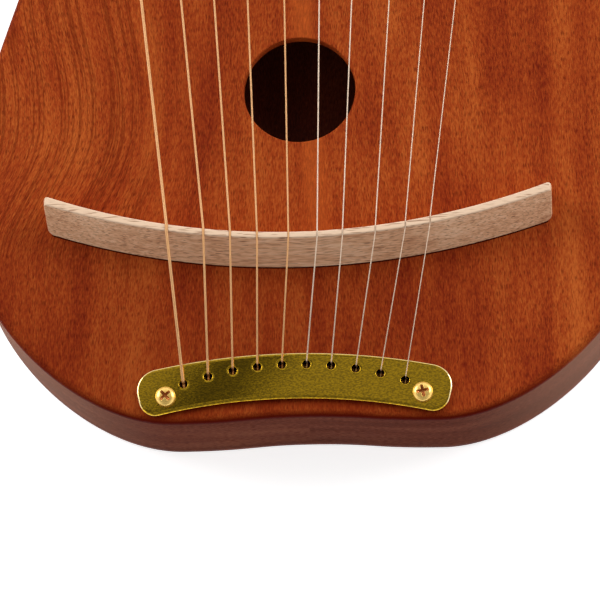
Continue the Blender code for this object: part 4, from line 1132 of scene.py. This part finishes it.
def pin_rings():
    """Radius and square width by height: a blunt point, the round rod, the run-out, the tapered square."""
    square_foot = PIN_ABOVE - SQUARE_LENGTH
    run_out = np.linspace(0, 1, 7)
    rounding = np.linspace(0, math.pi / 2, 6)
    height = [-PIN_BELOW, -PIN_BELOW + PIN_EDGE, -PIN_BELOW + PIN_POINT]
    height += [*(square_foot + SQUARE_RUN_OUT * run_out)]
    height += [*(PIN_ABOVE - PIN_EDGE + PIN_EDGE * np.sin(rounding)), PIN_ABOVE]
    radius = [PIN_POINT_RADIUS - PIN_EDGE, PIN_POINT_RADIUS] + [PIN_RADIUS] * (len(height) - 9)
    radius += [*(PIN_RADIUS - PIN_EDGE * (1 - np.cos(rounding))), PIN_RADIUS - 2 * PIN_EDGE]
    height, radius = np.array(height), np.array(radius)
    width = SQUARE_WIDTH + (SQUARE_TOP - SQUARE_WIDTH) * (height - square_foot) / SQUARE_LENGTH
    early = 1 - np.clip((height - square_foot) / SQUARE_RUN_OUT, 0, 1)
    width = width + (2 * PIN_RADIUS - SQUARE_WIDTH) * early**2
    width = np.where(height <= square_foot, 2 * PIN_RADIUS, width)
    width = width - 2 * (PIN_RADIUS - np.where(height > 0, radius, PIN_RADIUS))
    rings = turned(radius, height, 96)
    reach = np.abs(rings[:, :, :2]).max(axis=2)
    rings[:, :, :2] *= np.minimum(1, width[:, None] / 2 / reach)[:, :, None]
    return rings


def with_cross_hole(mesh):
    """The same mesh with a hole through it along X, at the height where the string goes in."""
    cutter_rings = turned((PIN_HOLE_RADIUS,) * 2, (-2 * PIN_RADIUS, 2 * PIN_RADIUS), 28)[:, :, ABOUT_X]
    cutter_rings += (0, 0, PIN_HOLE_HEIGHT)
    pin_piece = bpy.data.objects.new("pin_blank", mesh)
    cutter = bpy.data.objects.new("pin_cutter", stack("pin_cutter", cutter_rings))
    for thing in (pin_piece, cutter):
        bpy.context.scene.collection.objects.link(thing)
    hole = pin_piece.modifiers.new("hole", "BOOLEAN")
    hole.operation, hole.object = "DIFFERENCE", cutter
    bpy.context.view_layer.update()
    evaluated = pin_piece.evaluated_get(bpy.context.evaluated_depsgraph_get())
    drilled_mesh = bpy.data.meshes.new_from_object(evaluated)
    for thing in (pin_piece, cutter):
        bpy.data.objects.remove(thing)
    return drilled_mesh


pin_blank = with_cross_hole(stack("pin_blank", pin_rings()))
for index, (place, turn) in enumerate(zip(pins, pin_turns)):
    mesh = pin_blank.copy()
    mesh.name = f"pin_{index + 1}"
    spot = Matrix.Translation((place[0], place[1] - BODY_LENGTH / 2, BODY_DEPTH))
    mesh.transform(spot @ Matrix.Rotation(turn, 4, "Z"))
    name = f"tuning_pin_{index + 1}"
    show(finished(mesh, angle=22), pin_steel, [name], body=name)

# %% [markdown]
# ## The wood inside
#
# The tail block and the three braces are plain bars that show only through the sound hole, so the
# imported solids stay, and only get raw wood.

# %% Blocks and braces
inside_woods = {"tail_block": maple, "brace_lower": spruce, "brace_upper": spruce, "back_brace": spruce}
for node, finish in inside_woods.items():
    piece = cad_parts[node]
    piece.data.materials.clear()
    piece.data.materials.append(finish.material)
